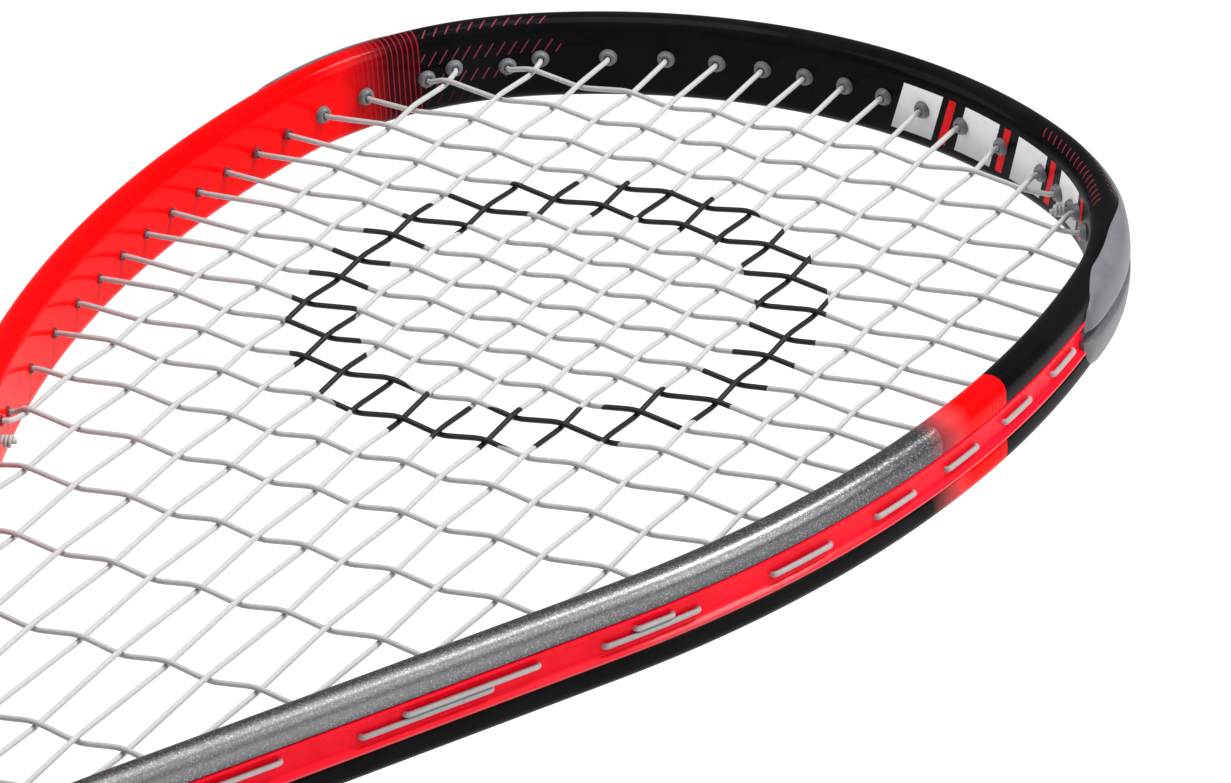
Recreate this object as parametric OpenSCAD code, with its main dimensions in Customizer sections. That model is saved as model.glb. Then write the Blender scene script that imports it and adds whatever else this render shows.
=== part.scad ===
// Squash racket: one carbon tube bent into a teardrop head, its two legs forming the shaft.
// Millimetres. +Y runs from the butt to the tip, +Z is square to the strings, the origin is
// the centre of the flat butt face.

/* [Overall] */

// Length from the butt face to the outside of the bumper guard
racket_l = 686; // [640:1:700]
// Width of the head over the frame
head_w = 213; // [196:1:222]
// Length of the handle from the butt to the top of its two shells
handle_l = 212; // [170:1:230]

/* [Frame tube] */

// Width of the tube in the string plane
tube_w = 7; // [6.4:0.1:9]
// Depth of the tube square to the strings
tube_d = 20; // [17:0.5:26]
// Edge radius of the tube
tube_r = 3.2; // [2:0.1:3.4]
// Wall of the hollow tube
tube_wall = 1.1; // [0.8:0.1:1.5]
// Radius of the head at the tip
tip_r = 126; // [110:1:150]
// Sweep of the tip arc to each side of the axis
tip_a = 32; // [26:1:36]
// Radius of the long sides
side_r = 245.86; // [230:0.02:262]
// Sweep of each shoulder
shoulder_a = 48.5; // [42:0.5:54]
// Slope of the straight lower rails to the axis
rail_a = 27.3; // [24:0.1:31]
// Radius where each rail turns into the shaft
throat_r = 210; // [160:5:260]
// Gap between the two legs of the shaft
leg_gap = 0.2; // [0.1:0.1:0.6]

/* [Grommets] */

// Width of the groove round the outside of the tube
groove_w = 8; // [6:0.5:10]
// Depth of that groove
groove_d = 2.2; // [1.8:0.1:2.5]
// Thickness of the grommet strip on the floor of the groove
strip_t = 0.8; // [0.6:0.1:1]
// Barrel diameter along the sides
barrel_d = 2.8; // [2.4:0.1:3.2]
// Barrel diameter at the tip
tip_barrel_d = 3.4; // [2.8:0.1:3.8]
// How far the barrels stand inside the head
barrel_out = 1.2; // [0.6:0.1:2]
// Thickness of the bumper guard outside the tube
bumper_t = 1.7; // [1.2:0.1:2.4]
// Depth of the bumper guard square to the strings
bumper_d = 15; // [12:0.5:17]
// Heading at which the bumper guard ends, to each side of the tip
bumper_a = 79; // [78.6:0.1:79.6]

/* [Strings] */

// String diameter
string_d = 1.2; // [1.05:0.05:1.35]
// Spacing of the two centre main strings
main_gap = 10.1; // [9.6:0.1:10.8]
// How quickly the mains spread toward the sides
main_spread = 0.044; // [0.03:0.001:0.05]
// Number of cross strings
rows = 21; // [19:2:21]
// Spacing of the crosses in the middle of the head
row_gap = 10.35; // [10:0.05:11]
// How quickly the crosses spread toward the throat
row_spread = 0.73; // [0.6:0.01:0.8]
// Height of the cross strings' wave
cross_wave = 0.98; // [0.9:0.01:1.1]
// Height of the main strings' wave
main_wave = 0.32; // [0.3:0.01:0.4]
// Stagger of main and cross string holes either side of the string plane
stagger = 0.66; // [0.64:0.01:0.75]

/* [Handle and shaft] */

// Width of the handle shells
shell_w = 27.6; // [25:0.2:30]
// Depth of the handle shells
shell_d = 23; // [22.4:0.2:26]
// Corner radius of the handle shells
shell_r = 7.5; // [6:0.5:9]
// Wall of the sleeve over the shaft
sleeve_t = 0.8; // [0.6:0.1:1.2]
// Thickness of the butt cap's end plate
cap_t = 3; // [2.4:0.1:4]
// Height of the butt cap's skirt
cap_h = 24; // [18:1:30]
// Wall of the butt cap's skirt
cap_wall = 1.4; // [1.2:0.1:1.8]
// Diameter of the disc let into the butt
badge_d = 18; // [14:1:20]

/* [Grip] */

// Thickness of the grip tape
grip_t = 1.5; // [1.2:0.1:2]
// Advance of the grip tape in each turn
grip_pitch = 20; // [17:1:24]
// Thickness of the base tape under the grip
base_t = 0.3; // [0.2:0.05:0.5]
// Thickness of the finishing tape
finish_t = 0.4; // [0.3:0.05:0.6]
// Length of the rubber collar
collar_l = 18; // [14:1:24]

/* [Hidden] */
$fn = 64;
fit = 0.1;        // play between pieces that are pressed or glued together
leg_x = tube_w / 2 + leg_gap / 2;

// Head centreline: tangent arcs from the tip round to the shaft. Headings run clockwise
// from the tip, nrm(h) is the outward direction at heading h.
function nrm(h) = [sin(h), cos(h)];
side_h0 = tip_a + shoulder_a;
side_h1 = 90 + rail_a;
half_w = head_w / 2 - tube_w / 2;
tip_y = racket_l - bumper_t - tube_w / 2;
c1 = [0, tip_y - tip_r];
p1 = c1 + tip_r * nrm(tip_a);
// each shoulder is tangent to the tip arc and to a side arc that touches the full width
shoulder_r = (half_w - p1[0] - side_r * (1 - sin(side_h0))) / (sin(side_h0) - sin(tip_a));
c2 = p1 - shoulder_r * nrm(tip_a);
p2 = c2 + shoulder_r * nrm(side_h0);
c3 = p2 - side_r * nrm(side_h0);
p3 = c3 + side_r * nrm(side_h1);
rail_dir = [-sin(rail_a), -cos(rail_a)];
rail_l = (p3[0] - leg_x - throat_r * (1 - cos(rail_a))) / sin(rail_a);
p4 = p3 + rail_l * rail_dir;
c5 = p4 + throat_r * nrm(side_h1);
leg_end = cap_t + fit;

// String ends: each string turns into its barrel at a knee just inside the barrel's mouth
knee = tube_w / 2 + barrel_out + 0.7;
floor_x = tube_w / 2 - groove_d;
loop_x = floor_x + strip_t + string_d / 2 + 0.08;
function arc_site(c, r, h) = [c + r * nrm(h), nrm(h), h];
function rail_site(t) = [p3 + t * rail_dir, nrm(side_h1), side_h1];
function back_site(h) = [c5 - throat_r * nrm(h), nrm(h), h];
j1 = p1 - knee * nrm(tip_a);
j2 = p2 - knee * nrm(side_h0);
j3 = p3 - knee * nrm(side_h1);
j4 = p4 - knee * nrm(side_h1);
function site_y(y) =
    y >= j1[1] ? arc_site(c1, tip_r, acos((y - c1[1]) / (tip_r - knee))) :
    y >= j2[1] ? arc_site(c2, shoulder_r, acos((y - c2[1]) / (shoulder_r - knee))) :
    y >= j3[1] ? arc_site(c3, side_r, acos((y - c3[1]) / (side_r - knee))) :
    y >= j4[1] ? rail_site((j3[1] - y) / cos(rail_a)) :
    back_site(acos((c5[1] - y) / (throat_r + knee)));
function site_top(x) =
    x <= j1[0] ? arc_site(c1, tip_r, asin(x / (tip_r - knee))) :
    arc_site(c2, shoulder_r, asin((x - c2[0]) / (shoulder_r - knee)));
function site_foot(x) =
    x >= j3[0] ? arc_site(c3, side_r, 180 - asin((x - c3[0]) / (side_r - knee))) :
    x >= j4[0] ? rail_site((j3[0] - x) / sin(rail_a)) :
    back_site(180 - asin((c5[0] - x) / (throat_r + knee)));
function knee_at(s) = s[0] - knee * s[1];

// Mains, numbered from 0 at the centre to each side. As many as reach across the head, and
// an odd number a side, so that both ends of the string finish at the foot.
function main_u(k) = k + 0.5;
function main_x(k) = main_gap * main_u(k) + main_spread * pow(main_u(k), 3);
main_fit = len([for (k = [0:11]) if (main_x(k) < j2[0] - 2) k]);
main_n = 2 * floor((main_fit - 1) / 2) + 1;
lean = 1.5;       // the outermost mains lean in at the foot, clear of the cross beside them
function foot_x(k) = main_x(k) - (k == main_n - 1 ? lean : 0);
top_sites = [for (k = [0:main_n - 1]) site_top(main_x(k))];
foot_sites = [for (k = [0:main_n - 1]) site_foot(foot_x(k))];
function main_at(k, y) = main_x(k) + (foot_x(k) - main_x(k))
    * (knee_at(top_sites[k])[1] - y)
    / (knee_at(top_sites[k])[1] - knee_at(foot_sites[k])[1]);

// Crosses, numbered 0 at the tip
first_row = 30.7 + bumper_t;   // distance of the first cross below the tip
last_gap = 19;
function gap_after(n) = row_gap + (n <= 2 ? 2.6 : n <= 4 ? 0.9 : 0)
    + (n > 11 ? row_spread * pow(n - 11, 1.55) : 0);
function row_y(j) = j == 0 ? racket_l - first_row :
    row_y(j - 1) - (j == rows - 1 ? last_gap : gap_after(j));
row_ys = [for (j = [0:rows - 1]) row_y(j)];
row_sites = [for (j = [0:rows - 1]) site_y(row_ys[j])];
function crosses_main(k, j) = knee_at(row_sites[j])[0] > main_at(k, row_ys[j]) + 0.8
    && row_ys[j] > knee_at(foot_sites[k])[1] && row_ys[j] < knee_at(top_sites[k])[1];

// Tie-off holes, where the four string ends come back inside and are knotted
tie_top = site_y(row_ys[0] - 4.8);
tie_foot = site_y(knee_at(foot_sites[main_n - 1])[1] - 7.5);
tie_throat = site_y(row_ys[rows - 1] - 20);

// Every hole as [site, height]; the right-hand side is x > 0
// the rows whose holes come before the end of the bumper guard belong to it
tip_rows = len([for (s = row_sites) if (s[2] < bumper_a) s]);
tip_holes = concat([for (s = top_sites) [s, stagger]],
    [for (j = [0:tip_rows - 1]) [row_sites[j], -stagger]]);
side_rows = [for (j = [tip_rows:rows - 2]) [row_sites[j], -stagger]];
side_feet = [for (k = [2:main_n - 1]) [foot_sites[k], stagger]];
side_holes = concat(side_rows, side_feet, [[tie_foot, stagger]]);
throat_holes = [[row_sites[rows - 1], -stagger], [foot_sites[0], stagger], [foot_sites[1], stagger]];

// ---- sections and sweeps

// a rectangle with rounded corners, centred
module round_rect(w, d, r) {
    square([w - 2 * r, d], center = true);
    square([w, d - 2 * r], center = true);
    for (x = [-1, 1], y = [-1, 1]) translate([x * (w / 2 - r), y * (d / 2 - r)]) circle(r);
}

// one straight length of handle section, from y0 to y1
module along_y(y0, y1) {
    translate([0, y0, 0]) rotate([-90, 0, 0]) linear_extrude(y1 - y0) children();
}

// Sections are drawn with x outward of the centreline and y square to the strings; $g grows
// the section by a hair where two lengths of the tube meet.
$g = 0;
module tube_section() {
    round_rect(tube_w + 2 * $g, tube_d + 2 * $g, tube_r + $g);
}

// the hollow stays one wall clear of the outside and of the groove
module hollow_section() {
    difference() {
        round_rect(tube_w - 2 * tube_wall - 2 * $g, tube_d - 2 * tube_wall - 2 * $g,
                   tube_r - tube_wall - $g);
        translate([floor_x - tube_wall - $g, -groove_w / 2 - tube_wall - $g])
            square([tube_w, groove_w + 2 * tube_wall + 2 * $g]);
    }
}

module groove_section() {
    translate([floor_x + $g, -groove_w / 2 + $g]) square([groove_d + 1, groove_w - 2 * $g]);
}

// Each length stops a little short of the next; a short bridge of grown section joins them.
lap = 0.25;
grow = 0.02;
function lap_a(r) = lap / r * 180 / PI;

module bridge(p, h) {
    $g = grow;
    translate([p[0], p[1], 0]) rotate([90, 0, 90 - h]) linear_extrude(4 * lap, center = true) children();
}

// sweep a section round the tip between two headings either side of the axis
module tip_sweep(h) {
    h1 = h - lap_a(tip_r);
    translate([c1[0], c1[1], 0]) rotate([0, 0, 90 - h1])
        rotate_extrude(angle = 2 * h1, $fn = 128) translate([tip_r, 0]) children();
}

// sweep a section about centre c from heading h0 to h1, short of each end
module arc_sweep(c, r, h0, h1) {
    a0 = h0 + lap_a(r);
    a1 = h1 - lap_a(r);
    translate([c[0], c[1], 0]) rotate([0, 0, 90 - a1])
        rotate_extrude(angle = a1 - a0, $fn = 128) translate([r, 0]) children();
}

// sweep a section down the straight rail, between two distances along it
module rail_sweep(t0 = 0, t1 = rail_l) {
    translate([p3[0], p3[1], 0]) rotate([90, 0, -rail_a])
        translate([0, 0, t0 + lap]) linear_extrude(t1 - t0 - 2 * lap) children();
}

// the reversed arc at the throat, from heading h0 to h1
module back_sweep(h0, h1) {
    a0 = h0 + lap_a(throat_r);
    a1 = h1 - lap_a(throat_r);
    translate([c5[0], c5[1], 0]) rotate([0, 0, 270 - a1])
        rotate_extrude(angle = a1 - a0, $fn = 128) translate([throat_r, 0]) mirror([1, 0]) children();
}

// a straight leg of the shaft
module leg_sweep(y0) {
    translate([leg_x, c5[1] - lap, 0]) rotate([90, 0, 0]) linear_extrude(c5[1] - lap - y0) children();
}

module both_sides() {
    children();
    mirror([1, 0, 0]) children();
}

// a round bar along the axis of a string hole, from a to b outward of the centreline
module hole_bar(hole, d, a, b) {
    s = hole[0];
    translate([s[0][0], s[0][1], hole[1]]) rotate([0, 0, 90 - s[2]]) rotate([0, 90, 0])
        translate([0, 0, a]) cylinder(d = d, h = b - a, $fn = 24);
}

// ---- strings: a chain of points turned into a six-sided cord

function unit(v) = v / norm(v);
function flip(p, side) = [side * p[0], p[1], p[2]];
function at_knee(s, z) = [s[0][0] - knee * s[1][0], s[0][1] - knee * s[1][1], z];
function at_loop(s, z) = [s[0][0] + loop_x * s[1][0], s[0][1] + loop_x * s[1][1], z];

// replace each sharp corner by three points on a small curve
function eased(p, i) =
    let (a = p[i - 1], b = p[i], c = p[i + 1], u = unit(a - b), v = unit(c - b),
         r = min(0.8, 0.45 * norm(a - b), 0.45 * norm(c - b)))
    u * v < -0.9 ? [b] : [b + r * u, (b + r * u + 2 * b + b + r * v) / 4, b + r * v];
function ease(p) = concat([p[0]], [for (i = [1:len(p) - 2]) each eased(p, i)], [p[len(p) - 1]]);

module cord(path) {
    p = ease(path);
    n = len(p);
    m = 6;
    r = string_d / 2;
    pts = [for (i = [0:n - 1])
        let (d0 = unit(p[max(i, 1)] - p[max(i, 1) - 1]),
             d1 = unit(p[min(i, n - 2) + 1] - p[min(i, n - 2)]),
             t = unit(d0 + d1), s = unit(cross([0, 0, 1], t)), w = cross(t, s),
             k = 1 / sqrt((1 + d0 * d1) / 2))
        for (q = [0:m - 1]) p[i] + r * k * cos(q * 360 / m) * s + r * sin(q * 360 / m) * w];
    faces = concat(
        [[for (q = [0:m - 1]) q]],
        [for (i = [0:n - 2]) for (q = [0:m - 1])
            each [[i * m + q, (i + 1) * m + q, (i + 1) * m + (q + 1) % m],
                  [i * m + q, (i + 1) * m + (q + 1) % m, i * m + (q + 1) % m]]],
        [[for (q = [m - 1:-1:0]) (n - 1) * m + q]]);
    polyhedron(points = pts, faces = faces, convexity = 10);
}

// points along the groove between two heights of the knee line
function groove_y(y0, y1, side, z) = [for (t = [0.25, 0.5, 0.75])
    flip(at_loop(site_y(y0 + t * (y1 - y0)), z), side)];
function groove_x(x0, x1, side, z) = [for (t = [0.25, 0.5, 0.75])
    flip(at_loop(site_top(x0 + t * (x1 - x0)), z), side)];

// weave: main m (..-2, -1, 1, 2..) and row j; +1 where the cross lies above the main
function over(m, j) = (abs(m) + (m > 0 ? 1 : 0) + j) % 2 == 0 ? 1 : -1;

// one main from its tip knee to its foot knee, on one side
function main_run(k, side) = concat(
    [flip(at_knee(top_sites[k], stagger), side)],
    [for (j = [0:rows - 1]) if (crosses_main(k, j))
        [side * main_at(k, row_ys[j]), row_ys[j], -main_wave * over(side * (k + 1), j)]],
    [flip(at_knee(foot_sites[k], stagger), side)]);
function turned(v) = [for (i = [len(v) - 1:-1:0]) v[i]];

// half of the main string: down the centre main, then out to the side, main by main
function main_half(side) = [for (k = [0:main_n - 1]) each
    k % 2 == 0
    ? concat([flip(at_loop(top_sites[k], stagger), side)], main_run(k, side),
             [flip(at_loop(foot_sites[k], stagger), side)],
             k < main_n - 1 ? groove_y(knee_at(foot_sites[k])[1], knee_at(foot_sites[k + 1])[1],
                                       side, stagger) : [])
    : concat([flip(at_loop(foot_sites[k], stagger), side)], turned(main_run(k, side)),
             [flip(at_loop(top_sites[k], stagger), side)],
             groove_x(main_x(k), main_x(k + 1), side, stagger))];
function main_tail(side) = [
    flip(at_loop(tie_foot, stagger), side),
    flip(at_knee(tie_foot, stagger), side),
    flip(at_knee(tie_foot, stagger) - 3 * [tie_foot[1][0], tie_foot[1][1], 0], side)];

// one cross from its right knee to its left knee
function row_half(j, side) = [for (k = [0:main_n - 1]) if (crosses_main(k, j))
    each [for (e = [-0.8, 0.8])
        [side * main_at(k, row_ys[j]) + side * e, row_ys[j], cross_wave * over(side * (k + 1), j)]]];
function row_run(j) = concat(
    [at_knee(row_sites[j], -stagger)], turned(row_half(j, 1)),
    row_half(j, -1), [flip(at_knee(row_sites[j], -stagger), -1)]);
function cross_chain() = [for (j = [0:rows - 1]) each
    let (side = j % 2 == 0 ? -1 : 1)
    concat([flip(at_loop(row_sites[j], -stagger), -side)],
           j % 2 == 0 ? row_run(j) : turned(row_run(j)),
           [flip(at_loop(row_sites[j], -stagger), side)],
           j < rows - 1 ? groove_y(row_ys[j], row_ys[j + 1], side, -stagger) : [])];
function tail_in(s, side) = [
    flip(at_loop(s, -stagger), side), flip(at_knee(s, -stagger), side),
    flip(at_knee(s, -stagger) - 3 * [s[1][0], s[1][1], 0], side)];

// ---- frame

// The hollow carbon tube: tip, shoulders, sides, rails, throat and the two legs of the shaft.
module frame_tube() {
    color("#1c1c1f") difference() {
        frame_sweep(leg_end) tube_section();
        frame_sweep(leg_end - 1) hollow_section();
        groove_sweep() groove_section();
        both_sides() {
            for (h = tip_holes) hole_bar(h, tip_barrel_d + 2 * fit, -tube_w, tube_w);
            for (h = side_holes) hole_bar(h, barrel_d + 2 * fit, -tube_w, tube_w);
            for (h = throat_holes) hole_bar(h, barrel_d + 2 * fit, -tube_w, tube_w);
        }
        hole_bar([tie_top, -stagger], tip_barrel_d + 2 * fit, -tube_w, tube_w);
        mirror([1, 0, 0]) hole_bar([tie_throat, -stagger], barrel_d + 2 * fit, -tube_w, tube_w);
    }
}

module frame_sweep(y0) {
    tip_sweep(tip_a) children();
    both_sides() {
        bridge(p1, tip_a) children();
        arc_sweep(c2, shoulder_r, tip_a, side_h0) children();
        bridge(p2, side_h0) children();
        arc_sweep(c3, side_r, side_h0, side_h1) children();
        bridge(p3, side_h1) children();
        rail_sweep() children();
        bridge(p4, side_h1) children();
        back_sweep(90, side_h1) children();
        bridge([leg_x, c5[1]], 90) children();
        leg_sweep(y0) children();
    }
}

// the groove runs from the tip to just below the centre mains' holes
groove_end = foot_sites[0][2] - 1.6;
module groove_sweep() {
    tip_sweep(tip_a) children();
    both_sides() {
        bridge(p1, tip_a) children();
        arc_sweep(c2, shoulder_r, tip_a, side_h0) children();
        bridge(p2, side_h0) children();
        arc_sweep(c3, side_r, side_h0, side_h1) children();
        bridge(p3, side_h1) children();
        rail_sweep() children();
        bridge(p4, side_h1) children();
        back_sweep(groove_end, side_h1) children();
    }
}

// The solid infill that joins the two legs above the shaft.
wedge_top = c5[1] + 42;
module throat_wedge() {
    color("#232326") difference() {
        translate([0, 0, -tube_d / 2 + 1.5]) linear_extrude(tube_d - 3) difference() {
            translate([-12, c5[1] + 8]) square([24, wedge_top - c5[1] - 8]);
            for (s = [-1, 1]) translate([s * c5[0], c5[1]]) circle(throat_r + tube_w / 2 + 0.05, $fn = 256);
            translate([0, wedge_top + 3]) circle(7);
        }
    }
}

// The carbon sleeve that binds both legs into one shaft.
module shaft_sleeve() {
    color("#b9bcc2") along_y(handle_l + fit, c5[1] + 2) difference() {
        round_rect(2 * leg_x + tube_w + 2 * fit + 2 * sleeve_t, tube_d + 2 * fit + 2 * sleeve_t,
                   tube_r + sleeve_t);
        round_rect(2 * leg_x + tube_w + 2 * fit, tube_d + 2 * fit, tube_r);
    }
}

// ---- grommets

module strip_section() {
    w = groove_w / 2 - fit + $g;
    translate([floor_x + 0.02 - $g, -w]) square([strip_t + 2 * $g, 2 * w]);
    for (s = [0, 1]) mirror([0, s]) translate([floor_x + 0.02 - $g, w - 1.6 - 2 * $g])
        square([groove_d + 2 * $g, 1.6 + 2 * $g]);
}

module bumper_section() {
    w = groove_w / 2 - fit + $g;
    x0 = tube_w / 2 + 0.05 - $g;
    translate([floor_x + 0.02 - $g, -w]) square([strip_t + 2 * $g, 2 * w]);
    for (s = [0, 1]) mirror([0, s]) {
        translate([floor_x + 0.02 - $g, w - 1.8 - 2 * $g]) square([groove_d + 0.5, 1.8 + 2 * $g]);
        translate([x0, w - 1.8 - 2 * $g]) square([bumper_t - 0.85 + 2 * $g, bumper_d / 2 - w + 1.8 + 3 * $g]);
        translate([x0, w - 1.8 - 2 * $g]) square([bumper_t - 0.05 + 2 * $g, bumper_d / 2 - w + 1 + 3 * $g]);
    }
}

module barrels(holes, d) {
    for (h = holes) hole_bar(h, d, -tube_w / 2 - barrel_out, floor_x + strip_t / 2);
}

module bores(holes) {
    for (h = holes) hole_bar(h, string_d + 0.35, -tube_w, tube_w);
}

// The nylon guard round the tip, its barrels standing through the tube.
module bumper_guard() {
    color("#8f9298") difference() {
        union() {
            tip_sweep(tip_a) bumper_section();
            both_sides() {
                bridge(p1, tip_a) bumper_section();
                arc_sweep(c2, shoulder_r, tip_a, bumper_a) bumper_section();
                barrels(tip_holes, tip_barrel_d);
            }
            barrels([[tie_top, -stagger]], tip_barrel_d);
        }
        both_sides() bores(tip_holes);
        bores([[tie_top, -stagger]]);
    }
}

strip_end = rail_l - 4;
module strip_half() {
    difference() {
        union() {
            arc_sweep(c2, shoulder_r, bumper_a, side_h0) strip_section();
            bridge(p2, side_h0) strip_section();
            arc_sweep(c3, side_r, side_h0, side_h1) strip_section();
            bridge(p3, side_h1) strip_section();
            rail_sweep(0, strip_end) strip_section();
            barrels(side_holes, barrel_d);
        }
        bores(side_holes);
    }
}

// The red grommet strips down each side of the head.
module grommet_strip_right() {
    color("#d8121c") strip_half();
}

module grommet_strip_left() {
    color("#c81019") mirror([1, 0, 0]) strip_half();
}

// The short grommet pieces at the throat, one on each leg; the left one has the tie-off hole.
module throat_piece(holes) {
    difference() {
        union() {
            back_sweep(groove_end + 0.1, side_h1) strip_section();
            bridge(p4, side_h1) strip_section();
            rail_sweep(strip_end, rail_l) strip_section();
            barrels(holes, barrel_d);
        }
        bores(holes);
    }
}

module throat_grommets() {
    color("#a90f17") {
        throat_piece(throat_holes);
        mirror([1, 0, 0]) throat_piece(concat(throat_holes, [[tie_throat, -stagger]]));
    }
}

// ---- string bed

module main_string() {
    color("#f2f2ee") cord(concat(turned(concat(main_half(-1),
        groove_y(knee_at(foot_sites[main_n - 1])[1], knee_at(tie_foot)[1], -1, stagger),
        main_tail(-1))),
        [[0, tip_y + loop_x, stagger]],
        main_half(1),
        groove_y(knee_at(foot_sites[main_n - 1])[1], knee_at(tie_foot)[1], 1, stagger),
        main_tail(1)));
}

module cross_string() {
    color("#fafaf6") cord(concat(
        turned(concat(groove_y(row_ys[0], knee_at(tie_top)[1], 1, -stagger), tail_in(tie_top, 1))),
        cross_chain(),
        groove_y(row_ys[rows - 1], knee_at(tie_throat)[1], -1, -stagger), tail_in(tie_throat, -1)));
}

// The four tie-off knots, drawn as the tight turns of string round each tail.
module tie_knots() {
    color("#e8e8e2") {
        knot([tie_top, -stagger]);
        both_sides() knot([tie_foot, stagger]);
        mirror([1, 0, 0]) knot([tie_throat, -stagger]);
    }
}

module knot(hole) {
    difference() {
        hole_bar(hole, 3, -knee - 2.4, -knee + 0.5);
        hole_bar(hole, string_d + 0.3, -knee - 3, -knee + 1);
    }
}

// ---- handle

// Foam plugs that close the open lower ends of the tube.
module leg_plugs() {
    color("#d9d2b0") both_sides() translate([leg_x, 0, 0]) along_y(leg_end, leg_end + 22)
        difference() {
            round_rect(tube_w - 2 * tube_wall - fit, tube_d - 2 * tube_wall - fit,
                       tube_r - tube_wall - fit / 2);
            translate([floor_x - tube_wall - fit, -groove_w / 2 - tube_wall - fit])
                square([tube_w, groove_w + 2 * tube_wall + 2 * fit]);
        }
}

module shell_half() {
    along_y(cap_t + fit, handle_l) difference() {
        round_rect(shell_w, shell_d, shell_r);
        round_rect(2 * leg_x + tube_w + 2 * fit, tube_d + 2 * fit, tube_r);
        translate([-shell_w, -shell_d]) square([2 * shell_w, shell_d + fit]);
    }
}

staple_y = 14;
staple_w = 8;
module staple_slots() {
    both_sides() for (z = [-1, 1]) translate([shell_w / 2 - 4, staple_y - 0.5, z * staple_w / 2 - 0.5])
        cube([8, 1, 1]);
}

// The two handle shells, glued round the legs: front is the side facing +Z.
module handle_shell_front() {
    color("#3b3b3f") difference() {
        mirror([0, 0, 1]) shell_half();
        staple_slots();
    }
}

module handle_shell_back() {
    color("#343438") difference() {
        shell_half();
        staple_slots();
    }
}

cap_w = shell_w + 2 * fit + 2 * cap_wall;
cap_d = shell_d + 2 * fit + 2 * cap_wall;
cap_flare = 2.2;
// The butt cap: a flared end plate with a skirt over the shells.
module butt_cap() {
    color("#161618") difference() {
        union() {
            along_y(0, cap_t) round_rect(cap_w + 2 * cap_flare, cap_d + 2 * cap_flare, shell_r + 3);
            along_y(cap_t, cap_h) round_rect(cap_w, cap_d, shell_r + cap_wall);
        }
        along_y(cap_t, cap_h + 1) round_rect(shell_w + 2 * fit, shell_d + 2 * fit, shell_r);
        along_y(-1, badge_t + fit) circle(d = badge_d + 2 * fit);
        staple_slots();
        both_sides() translate([cap_w / 2 - 0.7, staple_y - 0.5, -staple_w / 2 - 0.5])
            cube([2, 1, staple_w + 1]);
    }
}

badge_t = 0.8;
// The plain disc let into the butt face.
module butt_disc() {
    color("#c9151e") along_y(0, badge_t) circle(d = badge_d);
}

// Wire staples that pin the cap to both shells, one on each side.
module butt_staples() {
    color("#c8ccd0") both_sides() {
        translate([cap_w / 2 - 0.65, staple_y - 0.4, -staple_w / 2 - 0.4]) cube([0.6, 0.8, staple_w + 0.8]);
        for (z = [-1, 1]) translate([shell_w / 2 - 3.6, staple_y - 0.4, z * staple_w / 2 - 0.4])
            cube([cap_w / 2 - shell_w / 2 + 3.6 - 0.05, 0.8, 0.8]);
    }
}

// ---- grip

grip_top = handle_l - 4;
base_w = shell_w + 2 * fit + 2 * base_t;
base_d = shell_d + 2 * fit + 2 * base_t;
// The thin adhesive base tape on the shells, above the butt cap.
module base_tape() {
    color("#cfc7a8") along_y(cap_h + 1, grip_top) difference() {
        round_rect(base_w, base_d, shell_r + base_t);
        round_rect(shell_w + 2 * fit, shell_d + 2 * fit, shell_r);
    }
}

grip_play = 0.32;
// outline of the grip at one angle, g outside the pieces under it
function swell(y) = y < cap_h + 1 ? cap_w / 2 - base_w / 2 :
    y < cap_h + 12 ? (cap_w / 2 - base_w / 2) * (1 + cos(180 * (y - cap_h - 1) / 11)) / 2 : 0;
function grip_rim(a, g) =
    let (w = base_w / 2 + grip_play + g, d = base_d / 2 + grip_play + g)
    1 / pow(pow(abs(cos(a)) / w, 4) + pow(abs(sin(a)) / d, 4), 0.25);
function grip_point(a, y, g) = let (r = grip_rim(a, g + swell(y))) [r * cos(a), y, r * sin(a)];

grip_y0 = cap_t + 0.3;
grip_steps = 26;
// The grip tape: one strip wound up the handle, its edges meeting in a shallow spiral seam.
module grip_wrap() {
    w = grip_pitch - 0.25;
    y_start = grip_y0 + 1 - w;
    n = floor((grip_top - 1 - y_start) / grip_pitch * grip_steps);
    m = 8;
    pts = [for (i = [0:n])
        let (a = i * 360 / grip_steps, y = y_start + grip_pitch * i / grip_steps,
             lo = max(grip_y0, y), hi = min(grip_top, y + w), e = min(0.9, (hi - lo) / 4))
        each concat(
            [for (q = [0:3]) grip_point(a, lo + (hi - lo) * q / 3, 0)],
            [for (q = [3:-1:0]) grip_point(a, lo + e + (hi - lo - 2 * e) * q / 3, grip_t)])];
    faces = concat(
        [for (q = [0:2]) [m - 1 - q, m - 2 - q, q + 1, q]],
        [for (i = [0:n - 1]) for (q = [0:m - 1])
            each [[i * m + q, (i + 1) * m + (q + 1) % m, (i + 1) * m + q],
                  [i * m + q, i * m + (q + 1) % m, (i + 1) * m + (q + 1) % m]]],
        [for (q = [0:2]) [n * m + q, n * m + q + 1, n * m + m - 2 - q, n * m + m - 1 - q]]);
    color("#202022") polyhedron(points = pts, faces = faces, convexity = 10);
}

module grip_outline(g) {
    polygon([for (i = [0:47]) let (a = i * 7.5, r = grip_rim(a, g)) [r * cos(a), r * sin(a)]]);
}

finish_y0 = grip_top - 7;
finish_y1 = grip_top + 1.5;
// The finishing tape wound over the end of the grip.
module finishing_tape() {
    color("#101012") along_y(finish_y0, finish_y1) difference() {
        grip_outline(grip_t + 0.1 + finish_t);
        grip_outline(grip_t + 0.1);
    }
}

sleeve_w = 2 * leg_x + tube_w + 2 * fit + 2 * sleeve_t;
sleeve_d = tube_d + 2 * fit + 2 * sleeve_t;
collar_y0 = grip_top - 4;
collar_t = 1.2;
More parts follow.
